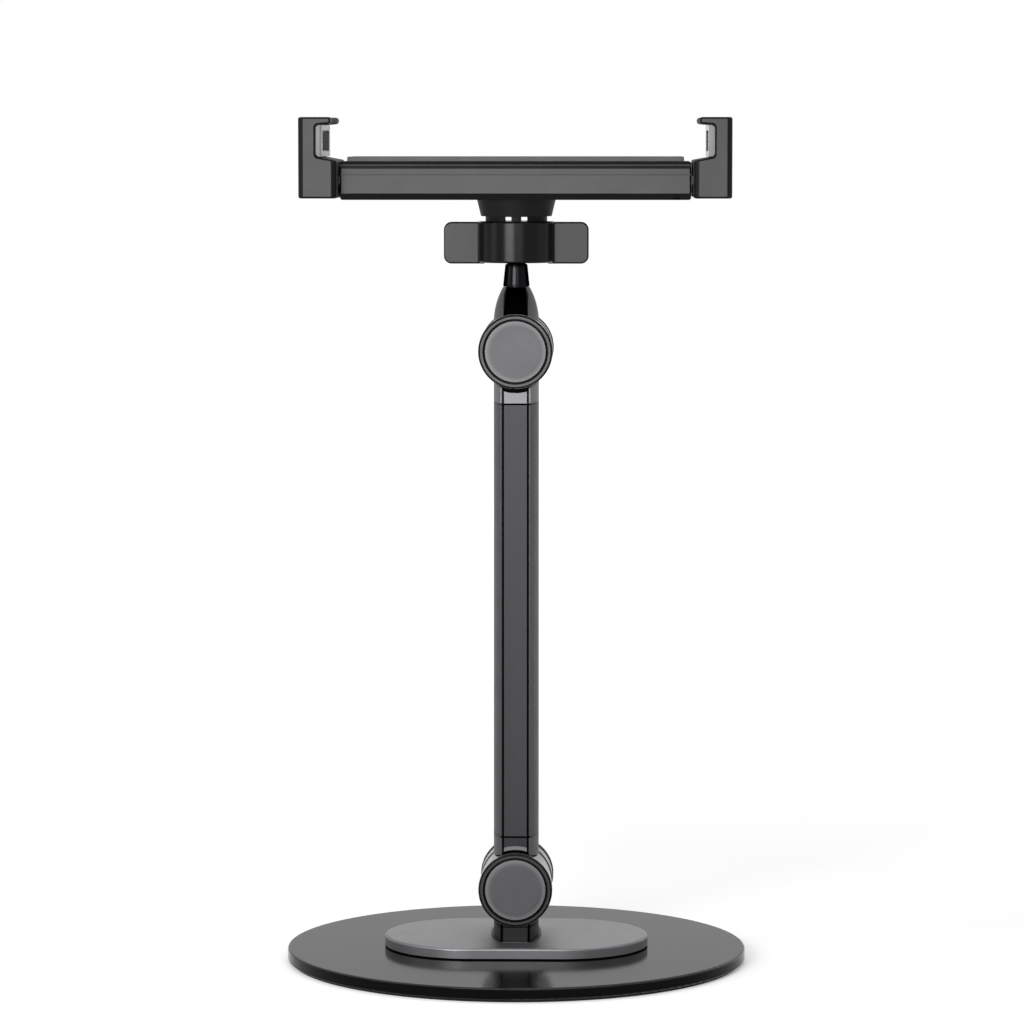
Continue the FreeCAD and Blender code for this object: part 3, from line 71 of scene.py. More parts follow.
def add_node(tree, kind, settings=None, inputs=None):
    """Adds a node. An input is a value for the socket, or another node's output to link to it."""
    node = tree.nodes.new(kind)
    for name, value in (settings or {}).items():
        setattr(node, name, value)
    for socket, value in (inputs or {}).items():
        if isinstance(value, bpy.types.NodeSocket):
            tree.links.new(value, node.inputs[socket])
        else:
            node.inputs[socket].default_value = value
    return node


print("mid grey is", round(linear("#777777")[0], 3), "in linear light")

# %% [markdown]
# What most finishes share
#
# A real surface isn't one even colour. Handling and light dust make it a little lighter or darker over
# a few centimetres, and the finish itself has a grain. Both are noise on Object coordinates, whose unit is
# the metre, so a feature's size in millimetres gives the noise's scale. The grain is felt as bump.


# %% A blank material, its mottle and its grain
TURNED_ROUGHNESS = 0.16


def new_material(name, constants):
    """A material with a bare shader, whose constants are set on the shader's own sockets."""
    material = bpy.data.materials.new(name)
    material.use_nodes = True
    tree = material.node_tree
    shader = tree.nodes["Principled BSDF"]
    for socket, value in constants.items():
        shader.inputs[socket].default_value = value
    return material, tree, shader


def noise_of_size(tree, size, stretch=(1, 1, 1)):
    """Noise whose features are about this many millimetres, drawn out along an axis by stretch."""
    place = add_node(tree, "ShaderNodeTexCoord")
    mapping = add_node(tree, "ShaderNodeMapping", inputs={
        "Vector": place.outputs["Object"], "Scale": [1 / s for s in stretch]})
    return add_node(tree, "ShaderNodeTexNoise", inputs={
        "Vector": mapping.outputs["Vector"], "Scale": 1 / (size * MM), "Detail": 2.0})


def mottle(tree, dark, light, size, stretch=(1, 1, 1)):
    """A slow change between two colours over the surface."""
    noise = noise_of_size(tree, size, stretch)
    return add_node(tree, "ShaderNodeMix", {"data_type": "RGBA"}, {
        "Factor": noise.outputs["Fac"], 6: linear(dark), 7: linear(light)}).outputs[2]


def grain_bump(tree, shader, size, height, strength, stretch=(1, 1, 1)):
    """The finish's grain as bump, of this height in millimetres."""
    noise = noise_of_size(tree, size, stretch)
    bump = add_node(tree, "ShaderNodeBump", inputs={
        "Strength": strength, "Distance": height * MM, "Height": noise.outputs["Fac"]})
    tree.links.new(bump.outputs["Normal"], shader.inputs["Normal"])


def uneven_roughness(tree, shader, low, high, size=9, turned=None):
    """Roughness that wanders between two values, and is low where the mask of a turned side is one."""
    noise = noise_of_size(tree, size)
    rough = add_node(tree, "ShaderNodeMapRange", inputs={
        "Value": noise.outputs["Fac"], "To Min": low, "To Max": high}).outputs["Result"]
    if turned is not None:
        rough = add_node(tree, "ShaderNodeMix", {"data_type": "FLOAT"}, {
            "Factor": turned, 2: rough, 3: TURNED_ROUGHNESS}).outputs[0]
    tree.links.new(rough, shader.inputs["Roughness"])


# %% [markdown]
# Masks: edges, grooves and painted shade
#
# A moulding's faces are etched with a fine texture, and its rounded edges are coloured darker, as painted
# shade. The solids already have real roundings, so an edge is found by asking which way the surface faces:
# a point on a rounding faces between the piece's main directions. On a turned piece only the way along its
# axis counts. How squarely a surface faces an axis is the cosine of the angle between them, from nought,
# side on, to one, straight on. A groove, a joint or a patch of painted light or shade is found by where it
# lies, in the real millimetres, and what belongs to a knuckle by its distance from the nearer pivot.


# %% Masks from a surface's direction and place
SIDE_ON, STRAIGHT_ON = 0.06, 0.985
LOWER_AXIS, UPPER_AXIS = 34.3, 267.3
BARREL_SIDE = (15.0, 16.2)


def vector_part(tree, output, axis, size_only=True):
    """One part of a texture coordinate, such as the X of Object, without its sign unless that is wanted."""
    place = add_node(tree, "ShaderNodeTexCoord")
    part = add_node(tree, "ShaderNodeSeparateXYZ", inputs={0: place.outputs[output]}).outputs[axis]
    if size_only:
        part = add_node(tree, "ShaderNodeMath", {"operation": "ABSOLUTE"}, {0: part}).outputs[0]
    return part


def combine(tree, operation, *masks):
    """Several masks as one: MULTIPLY where all hold, MAXIMUM where any does, SUBTRACT to take away."""
    result = masks[0]
    for mask in masks[1:]:
        result = add_node(tree, "ShaderNodeMath", {"operation": operation}, {0: result, 1: mask}).outputs[0]
    return result


def rounded_edges(tree):
    """One where the surface faces between X, Y and Z, and nought where it faces along one of them."""
    widest = combine(tree, "MAXIMUM", *(vector_part(tree, "Normal", axis) for axis in "XYZ"))
    return add_node(tree, "ShaderNodeMath", {"operation": "LESS_THAN"}, {
        0: widest, 1: STRAIGHT_ON}).outputs[0]


def faces_along(tree, axis, squareness=0.9):
    """One where the surface faces along this axis, either way."""
    return add_node(tree, "ShaderNodeMath", {"operation": "GREATER_THAN"}, {
        0: vector_part(tree, "Normal", axis), 1: squareness}).outputs[0]


def faces_between(tree, axis, least, most):
    """One where the surface faces the axis more squarely than the least and less than the most."""
    return combine(tree, "SUBTRACT", faces_along(tree, axis, least), faces_along(tree, axis, most))


def in_span(tree, value, span):
    """One where a length lies in a span, which is given in millimetres."""
    low, high = span
    return add_node(tree, "ShaderNodeMath", {"operation": "COMPARE"}, {
        0: value, 1: (low + high) / 2 * MM, 2: (high - low) / 2 * MM}).outputs[0]


def lies_between(tree, axis, span, size_only=False):
    """One in a span of places along an axis, or of distances from nought, which holds on both sides."""
    return in_span(tree, vector_part(tree, "Object", axis, size_only), span)


def from_pivots(tree):
    """The distance from the nearer of the two knuckles' axes, which run along Y."""
    place = add_node(tree, "ShaderNodeTexCoord")
    flat = add_node(tree, "ShaderNodeVectorMath", {"operation": "MULTIPLY"}, {
        0: place.outputs["Object"], 1: (1, 0, 1)}).outputs[0]
    distances = [
        add_node(tree, "ShaderNodeVectorMath", {"operation": "DISTANCE"}, {
            0: flat, 1: (0, 0, height * MM)}).outputs["Value"]
        for height in (LOWER_AXIS, UPPER_AXIS)]
    return combine(tree, "MINIMUM", *distances)


def ring_round_pivots(tree, span):
    """One in a span of distances from the nearer axis."""
    return in_span(tree, from_pivots(tree), span)


def turned_rim(tree):
    """The rounded rim of a piece turned about Y, which faces neither along Y nor straight outwards."""
    return faces_between(tree, "Y", SIDE_ON, STRAIGHT_ON)


def turned_side(tree):
    """The round outside of the knuckles' barrels and bezels."""
    return combine(tree, "SUBTRACT", ring_round_pivots(tree, BARREL_SIDE),
                   faces_along(tree, "Y", SIDE_ON))


def another_colour(tree, colour, mask, other):
    """The first colour, and the other one where the mask is one."""
    return add_node(tree, "ShaderNodeMix", {"data_type": "RGBA"}, {
        "Factor": mask, 6: colour, 7: linear(other)}).outputs[2]


def with_marks(tree, colour, marks):
    """The colour with marks on it: pairs of a function that makes a mask, and the colour there."""
    for mask, other in marks:
        colour = another_colour(tree, colour, mask(tree), other)
    return colour


# %% [markdown]
# Satin powder coat, on the base plate
#
# Powder coat is baked from dust, so it keeps a very fine ripple called orange peel, about a millimetre
# across. The paint itself is black: the grey that the eye sees on top of the plate is the white room in
# the gloss, which breaks off where the mast and its knuckle stand in the way. The gloss is kept low,
# because at this flat angle even a dull paint mirrors a good part of the light. The rounded rim of the
# plate is coloured greyer, as a painted highlight.


# %% Powder coat
def satin_powder_coat():
    material, tree, shader = new_material("satin_powder_coat", {"IOR": 1.5, "Specular IOR Level": 0.04})
    # The rounded rim is coloured greyer, as a painted highlight.
    rim = faces_between(tree, "Z", least=0.3, most=0.96)
    colour = another_colour(tree, mottle(tree, "#050505", "#090909", size=40), rim, "#2C2C2C")
    tree.links.new(colour, shader.inputs["Base Color"])
    uneven_roughness(tree, shader, low=0.1, high=0.15, size=25)
    grain_bump(tree, shader, size=1.1, height=0.008, strength=0.1)
    return material


# %% [markdown]
# Black anodised aluminium, on the foot plate, the mast and the forks
#
# Anodising dyes a thin glassy layer that grows on the metal, so the colour is deep but the surface still
# gleams like metal. The pieces are blasted with fine beads first. The beads leave dimples of under a tenth
# of a millimetre, too fine to show here, so they are drawn at about half a millimetre and very shallow.
# Each kind of piece comes from its own bath, so its black differs a little, though the lower fitting is
# darker than the upper one as painted shade. The channels beside the inlaid strips are coloured nearly
# black as painted shade, and the joints at the strips' ends as dark joint lines. The hollow curve in which
# the mast's flat front ends before a bezel is coloured black as well: painted shade at the lower bezels,
# with a painted highlight along its edge, and a painted reflection of the bezel's dark side at the upper
# ones, where a dark joint line goes on round the flanks. The foot of the post is coloured as painted shade
# under its knuckle, and the neck's flat panel as a painted reflection of the dark head above. The barrels
# are turned after blasting and stay smooth, so at a flat angle they mirror the white room. Each span below
# is in millimetres, along X, Y or Z, or out from the nearer pivot.


# %% Anodised aluminium
# Near black, for painted shade, painted dark reflections and dark joint lines.
SHADE_AND_JOINT_BLACK = "#030303"
MIDDLE_X, CHANNEL_X = (0.0, 5.3), (4.9, 5.75)
FLAT_Y = (19.0, 22.0)
STRIP_ENDS_Z, JOINT_HALF = (57.0, 244.6), 0.4
POST_FOOT_Z, NECK_PANEL_Z = (11.4, 19.5), (281.0, 330.0)
LOWER_HOLLOW, LOWER_HOLLOW_EDGE = (15.9, 17.1), (17.1, 18.7)
UPPER_HOLLOW, UPPER_FLANK_GAP = (15.9, 17.9), (15.9, 16.8)


def anodised_aluminium(name, dark, light, *marks, rough=(0.38, 0.46), stretch=(1, 1, 1), tint="#D8D8D8",
                       turned=None):
    """The tint is what a metal's shine turns to at a flat angle, and turned makes the mask of its sides."""
    material, tree, shader = new_material(name, {"Metallic": 1.0, "Specular Tint": linear(tint)})
    colour = with_marks(tree, mottle(tree, dark, light, size=22, stretch=stretch), marks)
    tree.links.new(colour, shader.inputs["Base Color"])
    uneven_roughness(tree, shader, *rough, turned=turned and turned(tree))
    grain_bump(tree, shader, size=0.5, height=0.01, strength=0.2, stretch=stretch)
    return material


def between_channels(tree):
    """The middle of a front or rear, as wide as the flat between the mast's channels."""
    return lies_between(tree, "X", MIDDLE_X, size_only=True)


def flat_depth(tree):
    """As far forward or back as the mast's flat front and rear."""
    return lies_between(tree, "Y", FLAT_Y, size_only=True)


def channel_shade_and_joints(tree):
    """The channels that hold the inlaid strips, where shade is painted, and the joints at the strips' ends.
    """
    channels = combine(tree, "MULTIPLY", lies_between(tree, "X", CHANNEL_X, size_only=True),
                       flat_depth(tree))
    joints = [lies_between(tree, "Z", (end - JOINT_HALF, end + JOINT_HALF)) for end in STRIP_ENDS_Z]
    return combine(tree, "MAXIMUM", channels, *joints)


def flat_front(tree):
    """The flat front and rear of the mast and its fittings, between the channels."""
    return combine(tree, "MULTIPLY", between_channels(tree), flat_depth(tree))


def lower_hollow_shade(tree):
    """Painted shade round the lower bezels, where the flat front ends in a hollow curve."""
    return combine(tree, "MULTIPLY", flat_front(tree), ring_round_pivots(tree, LOWER_HOLLOW))


def lower_hollow_highlight(tree):
    """A painted highlight along the edge of that shade."""
    return combine(tree, "MULTIPLY", flat_front(tree), ring_round_pivots(tree, LOWER_HOLLOW_EDGE))


def upper_hollow_reflection_and_joint(tree):
    """A painted reflection of the bezel's dark side round the upper bezels, and a dark joint line that goes
    on thinly round the flanks.
    """
    wide = combine(tree, "MULTIPLY", flat_front(tree), ring_round_pivots(tree, UPPER_HOLLOW))
    return combine(tree, "MAXIMUM", wide, ring_round_pivots(tree, UPPER_FLANK_GAP))


def post_foot_shade(tree):
    """The foot of the post, coloured near black as painted shade under the knuckle."""
    return lies_between(tree, "Z", POST_FOOT_Z)


def post_panel_shade(tree):
    """The flat panel on the foot's front and rear, painted shade that is paler than the rest of the foot.
    """
    return combine(tree, "MULTIPLY", post_foot_shade(tree), between_channels(tree))


def neck_panel_reflection(tree):
    """The flat panel down the front and the rear of the neck, coloured black as a painted reflection of the
    dark head above.
    """
    return combine(tree, "MULTIPLY", faces_along(tree, "Y", squareness=0.4),
                   between_channels(tree), lies_between(tree, "Z", NECK_PANEL_Z))


# %% [markdown]
# Black ABS, on the holder, its jaws and the knuckles' covers
#
# ABS is the plastic of most housings. Its faces take the fine spark-eroded texture of the mould, which
# scatters light, so they look dark grey rather than black, while the rounded edges and the grooves are
# coloured black as painted shade. The texture's grains are about 0.1 mm, drawn at 0.45 mm to show at all. A
# knuckle's cap has a paler bevel, which is a painted highlight, and its bezel's rounded rim and the deep
# narrow gap round the cap are coloured black as painted shade. The lower caps and bezels are coloured
# darker than the upper ones, as painted shade and painted light. The spans are given as before.


# %% Moulded ABS
# Near black, for painted shade on rounded edges, bezel rims and the gaps round the caps.
EDGE_SHADE_BLACK = "#040404"
PARTING_GROOVE_Z, BALL_BOSS_Z = (345.4, 346.8), (300.0, 331.9)
CAP_GAP = (12.9, 14.1)
BEVEL_START, BEVEL_END = 10.6, 12.9


def moulded_abs(name, dark, light, *marks, turned=None):
    material, tree, shader = new_material(name, {"IOR": 1.53, "Specular IOR Level": 0.12})
    colour = with_marks(tree, mottle(tree, dark, light, size=14), marks)
    tree.links.new(colour, shader.inputs["Base Color"])
    uneven_roughness(tree, shader, low=0.48, high=0.58, turned=turned and turned(tree))
    grain_bump(tree, shader, size=0.45, height=0.012, strength=0.35)
    return material


def cover_groove_shade(tree):
    """The groove along the front and the rear of the holder's cover, coloured near black as painted shade.
    """
    return lies_between(tree, "Z", PARTING_GROOVE_Z)


def gap_round_cap(tree):
    """The narrow gap between a cap and its bezel."""
    return ring_round_pivots(tree, CAP_GAP)


def cap_bevel_highlight(tree):
    """Grows from nought where a cap's bevel starts to one at its rim, where a paler highlight is painted.
    """
    return add_node(tree, "ShaderNodeMapRange", {"interpolation_type": "SMOOTHSTEP"}, {
        "Value": from_pivots(tree), "From Min": BEVEL_START * MM,
        "From Max": BEVEL_END * MM}).outputs["Result"]


def ball_boss(tree):
    """The boss and the collet under the bar, which take a near-black colour."""
    return lies_between(tree, "Z", BALL_BOSS_Z)


# %% [markdown]
# Glossy glass-filled nylon, on the wing nut
#
# A nut that must grip hard is moulded in nylon with glass fibre and left glossy. It is nearly black, and
# what shows is the lamp's streak down its round barrel. The flat wings are etched a little, which makes
# them dark grey inside a black polished rim. Glossy mouldings are never quite flat, so a slow shallow
# swell bends the streak a little.


# %% Glossy nylon
WINGS_X = (16.7, 40.0)


def glossy_nylon():
    material, tree, shader = new_material("glossy_nylon", {"IOR": 1.53, "Specular IOR Level": 0.12})
    wings = combine(tree, "MULTIPLY", faces_along(tree, "Y", STRAIGHT_ON),
                    lies_between(tree, "X", WINGS_X, size_only=True))
    colour = another_colour(tree, mottle(tree, "#020202", "#050505", size=12), wings, "#464647")
    tree.links.new(colour, shader.inputs["Base Color"])
    uneven_roughness(tree, shader, low=0.2, high=0.25)
    grain_bump(tree, shader, size=7, height=0.05, strength=0.15)
    return material


# %% [markdown]
# Rubber, silicone, steel and natural nylon
#
# Rubber soaks up light, so it is dark and rough with hardly any shine. Silicone is the soft pale material
# of the jaws' pads: it lets a little light in, which softens its shading. The steel of the ball and the
# screws is blackened in hot oxide and oiled: a dark metal with a clear shine, which the oxide dulls
# towards the outline, and that is what a dark tint does to a metal's edge. The sliding arms and the pinion
# are natural nylon, left milky: the arms show only while the jaws stand open.


# %% Rubber
def black_rubber(name, dark, light):
    material, tree, shader = new_material(name, {"IOR": 1.52, "Specular IOR Level": 0.2})
    tree.links.new(mottle(tree, dark, light, size=6), shader.inputs["Base Color"])
    uneven_roughness(tree, shader, low=0.7, high=0.82)
    grain_bump(tree, shader, size=0.4, height=0.02, strength=0.3)
    return material


# %% Silicone
def grey_silicone():
    material, tree, shader = new_material("grey_silicone", {
        "IOR": 1.41, "Subsurface Weight": 0.15, "Subsurface Radius": (0.004, 0.004, 0.004),
        "Subsurface Scale": 0.25})
    edge_colour = mottle(tree, "#6E6F6F", "#7B7C7C", size=8)
    colour = another_colour(tree, edge_colour, faces_along(tree, "X"), "#DADADA")
    tree.links.new(colour, shader.inputs["Base Color"])
    uneven_roughness(tree, shader, low=0.4, high=0.5)
    grain_bump(tree, shader, size=0.6, height=0.01, strength=0.2)
    return material


# %% Blackened steel and natural nylon
def blackened_steel(name, dark, light, rough):
    material, tree, shader = new_material(name, {
        "Metallic": 1.0, "Specular Tint": linear("#101010")})
    tree.links.new(mottle(tree, dark, light, size=5), shader.inputs["Base Color"])
    uneven_roughness(tree, shader, *rough, size=3)
    grain_bump(tree, shader, size=0.35, height=0.006, strength=0.15)
    return material


def natural_nylon():
    material, tree, shader = new_material("natural_nylon", {
        "IOR": 1.53, "Subsurface Weight": 0.2, "Subsurface Radius": (0.003, 0.003, 0.002),
        "Subsurface Scale": 0.3})
    tree.links.new(mottle(tree, "#D6D3C8", "#E2DFD5", size=7), shader.inputs["Base Color"])
    uneven_roughness(tree, shader, low=0.38, high=0.46)
    grain_bump(tree, shader, size=0.5, height=0.01, strength=0.15)
    return material


# %% [markdown]
# Every piece gets its finish
#
# The frame's pieces each have one material slot. A table says which piece takes which finish. Pieces made
# of the same stuff may still differ: the mast's inlaid strips are dyed darker than the mast, and the drawn
# metal keeps faint lines along its length. The lower fitting, caps and bezels are coloured darker than the
# upper ones, as painted shade and painted light.


# %% Assign the finishes
DRAWN = (1, 1, 25)
rubber = black_rubber("black_rubber", "#1A1A1A", "#242424")
grip_rubber = black_rubber("grip_rubber", "#525253", "#5E5E5F")
silicone = grey_silicone()
steel = blackened_steel("blackened_steel", "#303031", "#3C3C3E", rough=(0.26, 0.34))
FINISHES = {
    satin_powder_coat(): ["base_plate"],
    anodised_aluminium("anodised_foot", "#6A6A6C", "#747476", tint="#FFFFFF"): ["foot_plate"],
    # The post's foot is coloured near black, and its panel dark grey, as painted shade under the knuckle.
    anodised_aluminium("anodised_post", "#5A5A5C", "#646466", (post_foot_shade, "#050505"),
                       (post_panel_shade, "#2C2C2D"), rough=(0.32, 0.4), turned=turned_side): ["post_fork"],
    # The neck's flat panel is coloured black, as a painted reflection of the dark head above.
    anodised_aluminium("anodised_neck", "#505051", "#5A5A5B", (neck_panel_reflection, SHADE_AND_JOINT_BLACK),
                       turned=turned_side): ["neck_fork"],
    # On the lower fitting the flat front is darker and the hollow round the bezel black, as painted shade,
    # and the hollow's edge paler, as a painted highlight.
    anodised_aluminium("anodised_fitting_shaded", "#404042", "#4A4A4C", (flat_front, "#303032"),
                       (lower_hollow_highlight, "#646466"), (channel_shade_and_joints, SHADE_AND_JOINT_BLACK), (lower_hollow_shade, SHADE_AND_JOINT_BLACK),
                       turned=turned_side): ["lower_tongue"],
    # The upper fitting is coloured lighter than the lower one, as painted light.
    anodised_aluminium("anodised_fitting_lit", "#606062", "#6A6A6C", (channel_shade_and_joints, SHADE_AND_JOINT_BLACK),
                       # Round the upper bezel the fitting is coloured black as a painted reflection of the
                       # bezel's dark side, with a dark joint line on the flanks.
                       (upper_hollow_reflection_and_joint, SHADE_AND_JOINT_BLACK), turned=turned_side): ["upper_tongue"],
    # The channels beside the strips are coloured near black as painted shade, and the joints at the strips'
    # ends as dark joint lines.
    anodised_aluminium("anodised_extrusion", "#38383A", "#404042", (channel_shade_and_joints, SHADE_AND_JOINT_BLACK), stretch=DRAWN): [
        "mast_tube"],
    anodised_aluminium("anodised_inlay", "#323234", "#3A3A3C", (channel_shade_and_joints, SHADE_AND_JOINT_BLACK), stretch=DRAWN): [
        "mast_front_strip", "mast_rear_strip"],
    # The rounded edges of the jaws, the shell and the top are coloured near black as painted shade.
    moulded_abs("moulded_jaw", "#444445", "#4E4E4F", (rounded_edges, EDGE_SHADE_BLACK)): [
        "left_jaw", "right_jaw"],
    moulded_abs("moulded_shell", "#4A4A4B", "#545455", (rounded_edges, EDGE_SHADE_BLACK),
                (ball_boss, "#050505")): ["holder_base"],
    moulded_abs("moulded_top", "#484849", "#525253", (rounded_edges, EDGE_SHADE_BLACK),
                # The groove along the cover is coloured near black as painted shade.
                (cover_groove_shade, "#060606")): ["holder_cover"],
    # The caps' bevels are paler, as a painted highlight.
    moulded_abs("moulded_cap_shaded", "#4E4E50", "#5A5A5C", (cap_bevel_highlight, "#707072")): [
        "lower_front_cap", "lower_rear_cap"],
    # The upper caps and bezels are coloured lighter than the lower ones as painted light, the lower ones
    # darker as painted shade.
    moulded_abs("moulded_cap_lit", "#5A5A5C", "#68686A", (cap_bevel_highlight, "#7A7A7C")): [
        "upper_front_cap", "upper_rear_cap"],
    # On the bezels the rims and the gaps round the caps are coloured near black as painted shade.
    moulded_abs("moulded_bezel_shaded", "#343435", "#3E3E3F", (gap_round_cap, EDGE_SHADE_BLACK),
                (turned_rim, EDGE_SHADE_BLACK), turned=turned_side): ["lower_front_bezel", "lower_rear_bezel"],
    moulded_abs("moulded_bezel_lit", "#545455", "#5E5E5F", (gap_round_cap, EDGE_SHADE_BLACK),
                (turned_rim, EDGE_SHADE_BLACK), turned=turned_side): ["upper_front_bezel", "upper_rear_bezel"],
    glossy_nylon(): ["wing_nut"],
    rubber: ["base_pad", "foot_gasket", "front_rest_strip", "rear_rest_strip"],
    silicone: ["left_pad", "right_pad"],
    blackened_steel("polished_black_steel", "#121213", "#18181A", rough=(0.14, 0.18)): ["ball_stud"],
    steel: [
        "base_screws", "post_screws", "cover_screws", "pinion_axle",
        *(f"{side}_{piece}" for side in ("left", "right") for piece in ("spring", "jaw_screws")),
        *(f"{level}_{piece}" for level in ("lower", "upper")
          for piece in ("pivot_bolt", "lock_nut", "spring_washers", "tongue_screws"))],
    natural_nylon(): [
        "ball_seat", "sync_pinion", "left_arm", "right_arm",
        "lower_friction_washers", "upper_friction_washers"],
}
for material, names in FINISHES.items():
    for name in names:
        for slot in nodes[name].material_slots:
            slot.material = material
finished = {name for names in FINISHES.values() for name in names}
print("without a finish:", sorted(set(nodes) - finished))

# %% [markdown]
# New pieces
#
# The soft pieces and the small screws are plain solids in the frame, so each gets a modelled piece in its
# place. They are all made in millimetres in a bmesh, and one function turns a finished bmesh into an
# object: it scales it to metres, points its faces outwards, smooths what is rounded and keeps what is
# sharp, hangs the piece on the body it rides on, and hides the solid it stands for.


# %% From a bmesh to a piece
X, Y, Z = range(3)
SHARP = math.radians(32)
WELD, TOUCH = 0.002, 0.01
ALIGNED = 0.99


def new_piece(name, mesh, body, slot, materials, *replaced):
    """An object from a bmesh in millimetres, riding on a body, in place of the named solids."""
    bmesh.ops.remove_doubles(mesh, verts=mesh.verts, dist=WELD)
    bmesh.ops.scale(mesh, vec=(MM, MM, MM), verts=mesh.verts)
    bmesh.ops.recalc_face_normals(mesh, faces=mesh.faces)
    for face in mesh.faces:
        face.smooth = True
    data = bpy.data.meshes.new(name)
    mesh.to_mesh(data)
    mesh.free()
    data.set_sharp_from_angle(angle=SHARP)
    for material in materials:
        data.materials.append(material)
    piece = bpy.data.objects.new(name, data)
    bpy.context.scene.collection.objects.link(piece)
    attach(piece, body)
    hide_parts(*replaced)
    print(name, len(data.polygons), "faces")
    return piece


def block(low, high):
    """A bmesh box between two corners in millimetres."""
    mesh = bmesh.new()
    bmesh.ops.create_cube(mesh, size=1.0)
    low, high = Vector(low), Vector(high)
    bmesh.ops.scale(mesh, vec=high - low, verts=mesh.verts)
    bmesh.ops.translate(mesh, vec=(low + high) / 2, verts=mesh.verts)
    return mesh


def round_off(mesh, radius, segments, chosen):
    """Rounds the edges for which chosen is true."""
    bmesh.ops.bevel(mesh, geom=[edge for edge in mesh.edges if chosen(edge)], offset=radius,
                    offset_type="OFFSET", segments=segments, profile=0.5, affect="EDGES", material=-1)


def runs(edge, axis):
    """True if the edge runs along this axis."""
    first, second = (vertex.co for vertex in edge.verts)
    return abs((second - first)[axis]) > ALIGNED * (second - first).length


def is_at(edge, axis, place):
    """True if both of the edge's ends are at this place along the axis."""
    return all(abs(vertex.co[axis] - place) < TOUCH for vertex in edge.verts)


def cut_across(mesh, axis, places):
    """Cuts the mesh at these places along an axis, so that faces can be chosen between them."""
    normal = Vector([1 if n == axis else 0 for n in range(3)])
    for place in places:
        bmesh.ops.bisect_plane(mesh, geom=mesh.verts[:] + mesh.edges[:] + mesh.faces[:],
                               plane_co=normal * place, plane_no=normal)


def box_of(name):
    """A node's lowest and highest corner in millimetres."""
    return [Vector(corner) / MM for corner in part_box(name)]


def draw_out(mesh, faces):
    """Extrudes faces together and gives their new corners. The edges go along, so no lid stays behind."""
    edges = {edge for face in faces for edge in face.edges}
    drawn = bmesh.ops.extrude_face_region(mesh, geom=[*faces, *edges])["geom"]
    return [item for item in drawn if isinstance(item, bmesh.types.BMVert)]


# %% [markdown]
# The jaws' silicone pads
#
# Each jaw grips the tablet with a moulded silicone bar, let into the jaw's slot. Its long edges towards
# the wall follow the slot's rounded corners, its ends are rounded so that the tablet slides in, and a
# long window in its face shows black rubber. A box is bevelled edge by edge, each with the radius that
# the real one has. The window starts as an inset of its face, of any width, which is then scaled to the
# window's size and sunk. The left pad is the right one turned half round, as on the real stand.


# %% Pads with a sunk window
PAD_WALL_CORNER, PAD_END, PAD_EDGE = 1.6, 1.1, 0.4
WINDOW_LENGTH, WINDOW_HEIGHT, WINDOW_DEPTH = 46.0, 8.6, 1.1
WINDOW_CORNER, WINDOW_EDGE = 1.5, 0.35


def jaw_pad():
    """The right pad, its face towards lower X."""
    low, high = box_of("right_pad")
    mesh = block(low, high)
    round_off(mesh, PAD_WALL_CORNER, 5, lambda edge: is_at(edge, X, high.x) and runs(edge, Y))
    round_off(mesh, PAD_END, 5, lambda edge: is_at(edge, X, low.x) and runs(edge, Z))
    round_off(mesh, PAD_EDGE, 3, lambda edge: is_at(edge, X, low.x) and runs(edge, Y))
    fronts = [face for face in mesh.faces if face.normal.x < -ALIGNED]
    face = max(fronts, key=lambda face: face.calc_area())
    bmesh.ops.inset_region(mesh, faces=[face], thickness=1.0)
    middle = face.calc_center_median()
    size = [max(v.co[n] for v in face.verts) - min(v.co[n] for v in face.verts) for n in (Y, Z)]
    bmesh.ops.scale(mesh, vec=(1, WINDOW_LENGTH / size[0], WINDOW_HEIGHT / size[1]),
                    space=Matrix.Translation(-middle), verts=face.verts)
    bmesh.ops.translate(mesh, vec=(WINDOW_DEPTH, 0, 0), verts=draw_out(mesh, [face]))

    def rim_corner(edge):
        return runs(edge, X) and abs(abs(edge.verts[0].co.y) - WINDOW_LENGTH / 2) < TOUCH

    round_off(mesh, WINDOW_CORNER, 5, rim_corner)

    def rim(edge):
        inside = all(abs(v.co.y) < WINDOW_LENGTH / 2 + TOUCH and
                     abs(v.co.z - middle.z) < WINDOW_HEIGHT / 2 + TOUCH for v in edge.verts)
        return inside and is_at(edge, X, low.x)

    round_off(mesh, WINDOW_EDGE, 3, rim)
    return mesh, middle


# %% The ribbed rubber in the window
RIBS, RIB_TAPER, RIB_HEIGHT = 5, 0.12, 0.3
INLAY_GAP, INLAY_CORNER, INLAY_SINK = 0.2, 1.3, 0.6


def window_inlay(middle):
    """A rubber tile that fills the window's floor, with ribs along it."""
    low_x = box_of("right_pad")[0].x
    half_length, half_height = WINDOW_LENGTH / 2 - INLAY_GAP, WINDOW_HEIGHT / 2 - INLAY_GAP
    bottom, top = middle.z - half_height, middle.z + half_height
    mesh = block((low_x + INLAY_SINK, -half_length, bottom), (low_x + WINDOW_DEPTH, half_length, top))
    round_off(mesh, INLAY_CORNER, 4, lambda edge: runs(edge, X))
    band = (top - bottom) / (2 * RIBS + 1)
    cut_across(mesh, Z, [bottom + band * n for n in range(1, 2 * RIBS + 1)])
    ribs = [face for face in mesh.faces if face.normal.x < -ALIGNED
            and int((face.calc_center_median().z - bottom) / band) % 2 == 1]
    bmesh.ops.inset_individual(mesh, faces=ribs, thickness=RIB_TAPER, depth=RIB_HEIGHT)
    return mesh


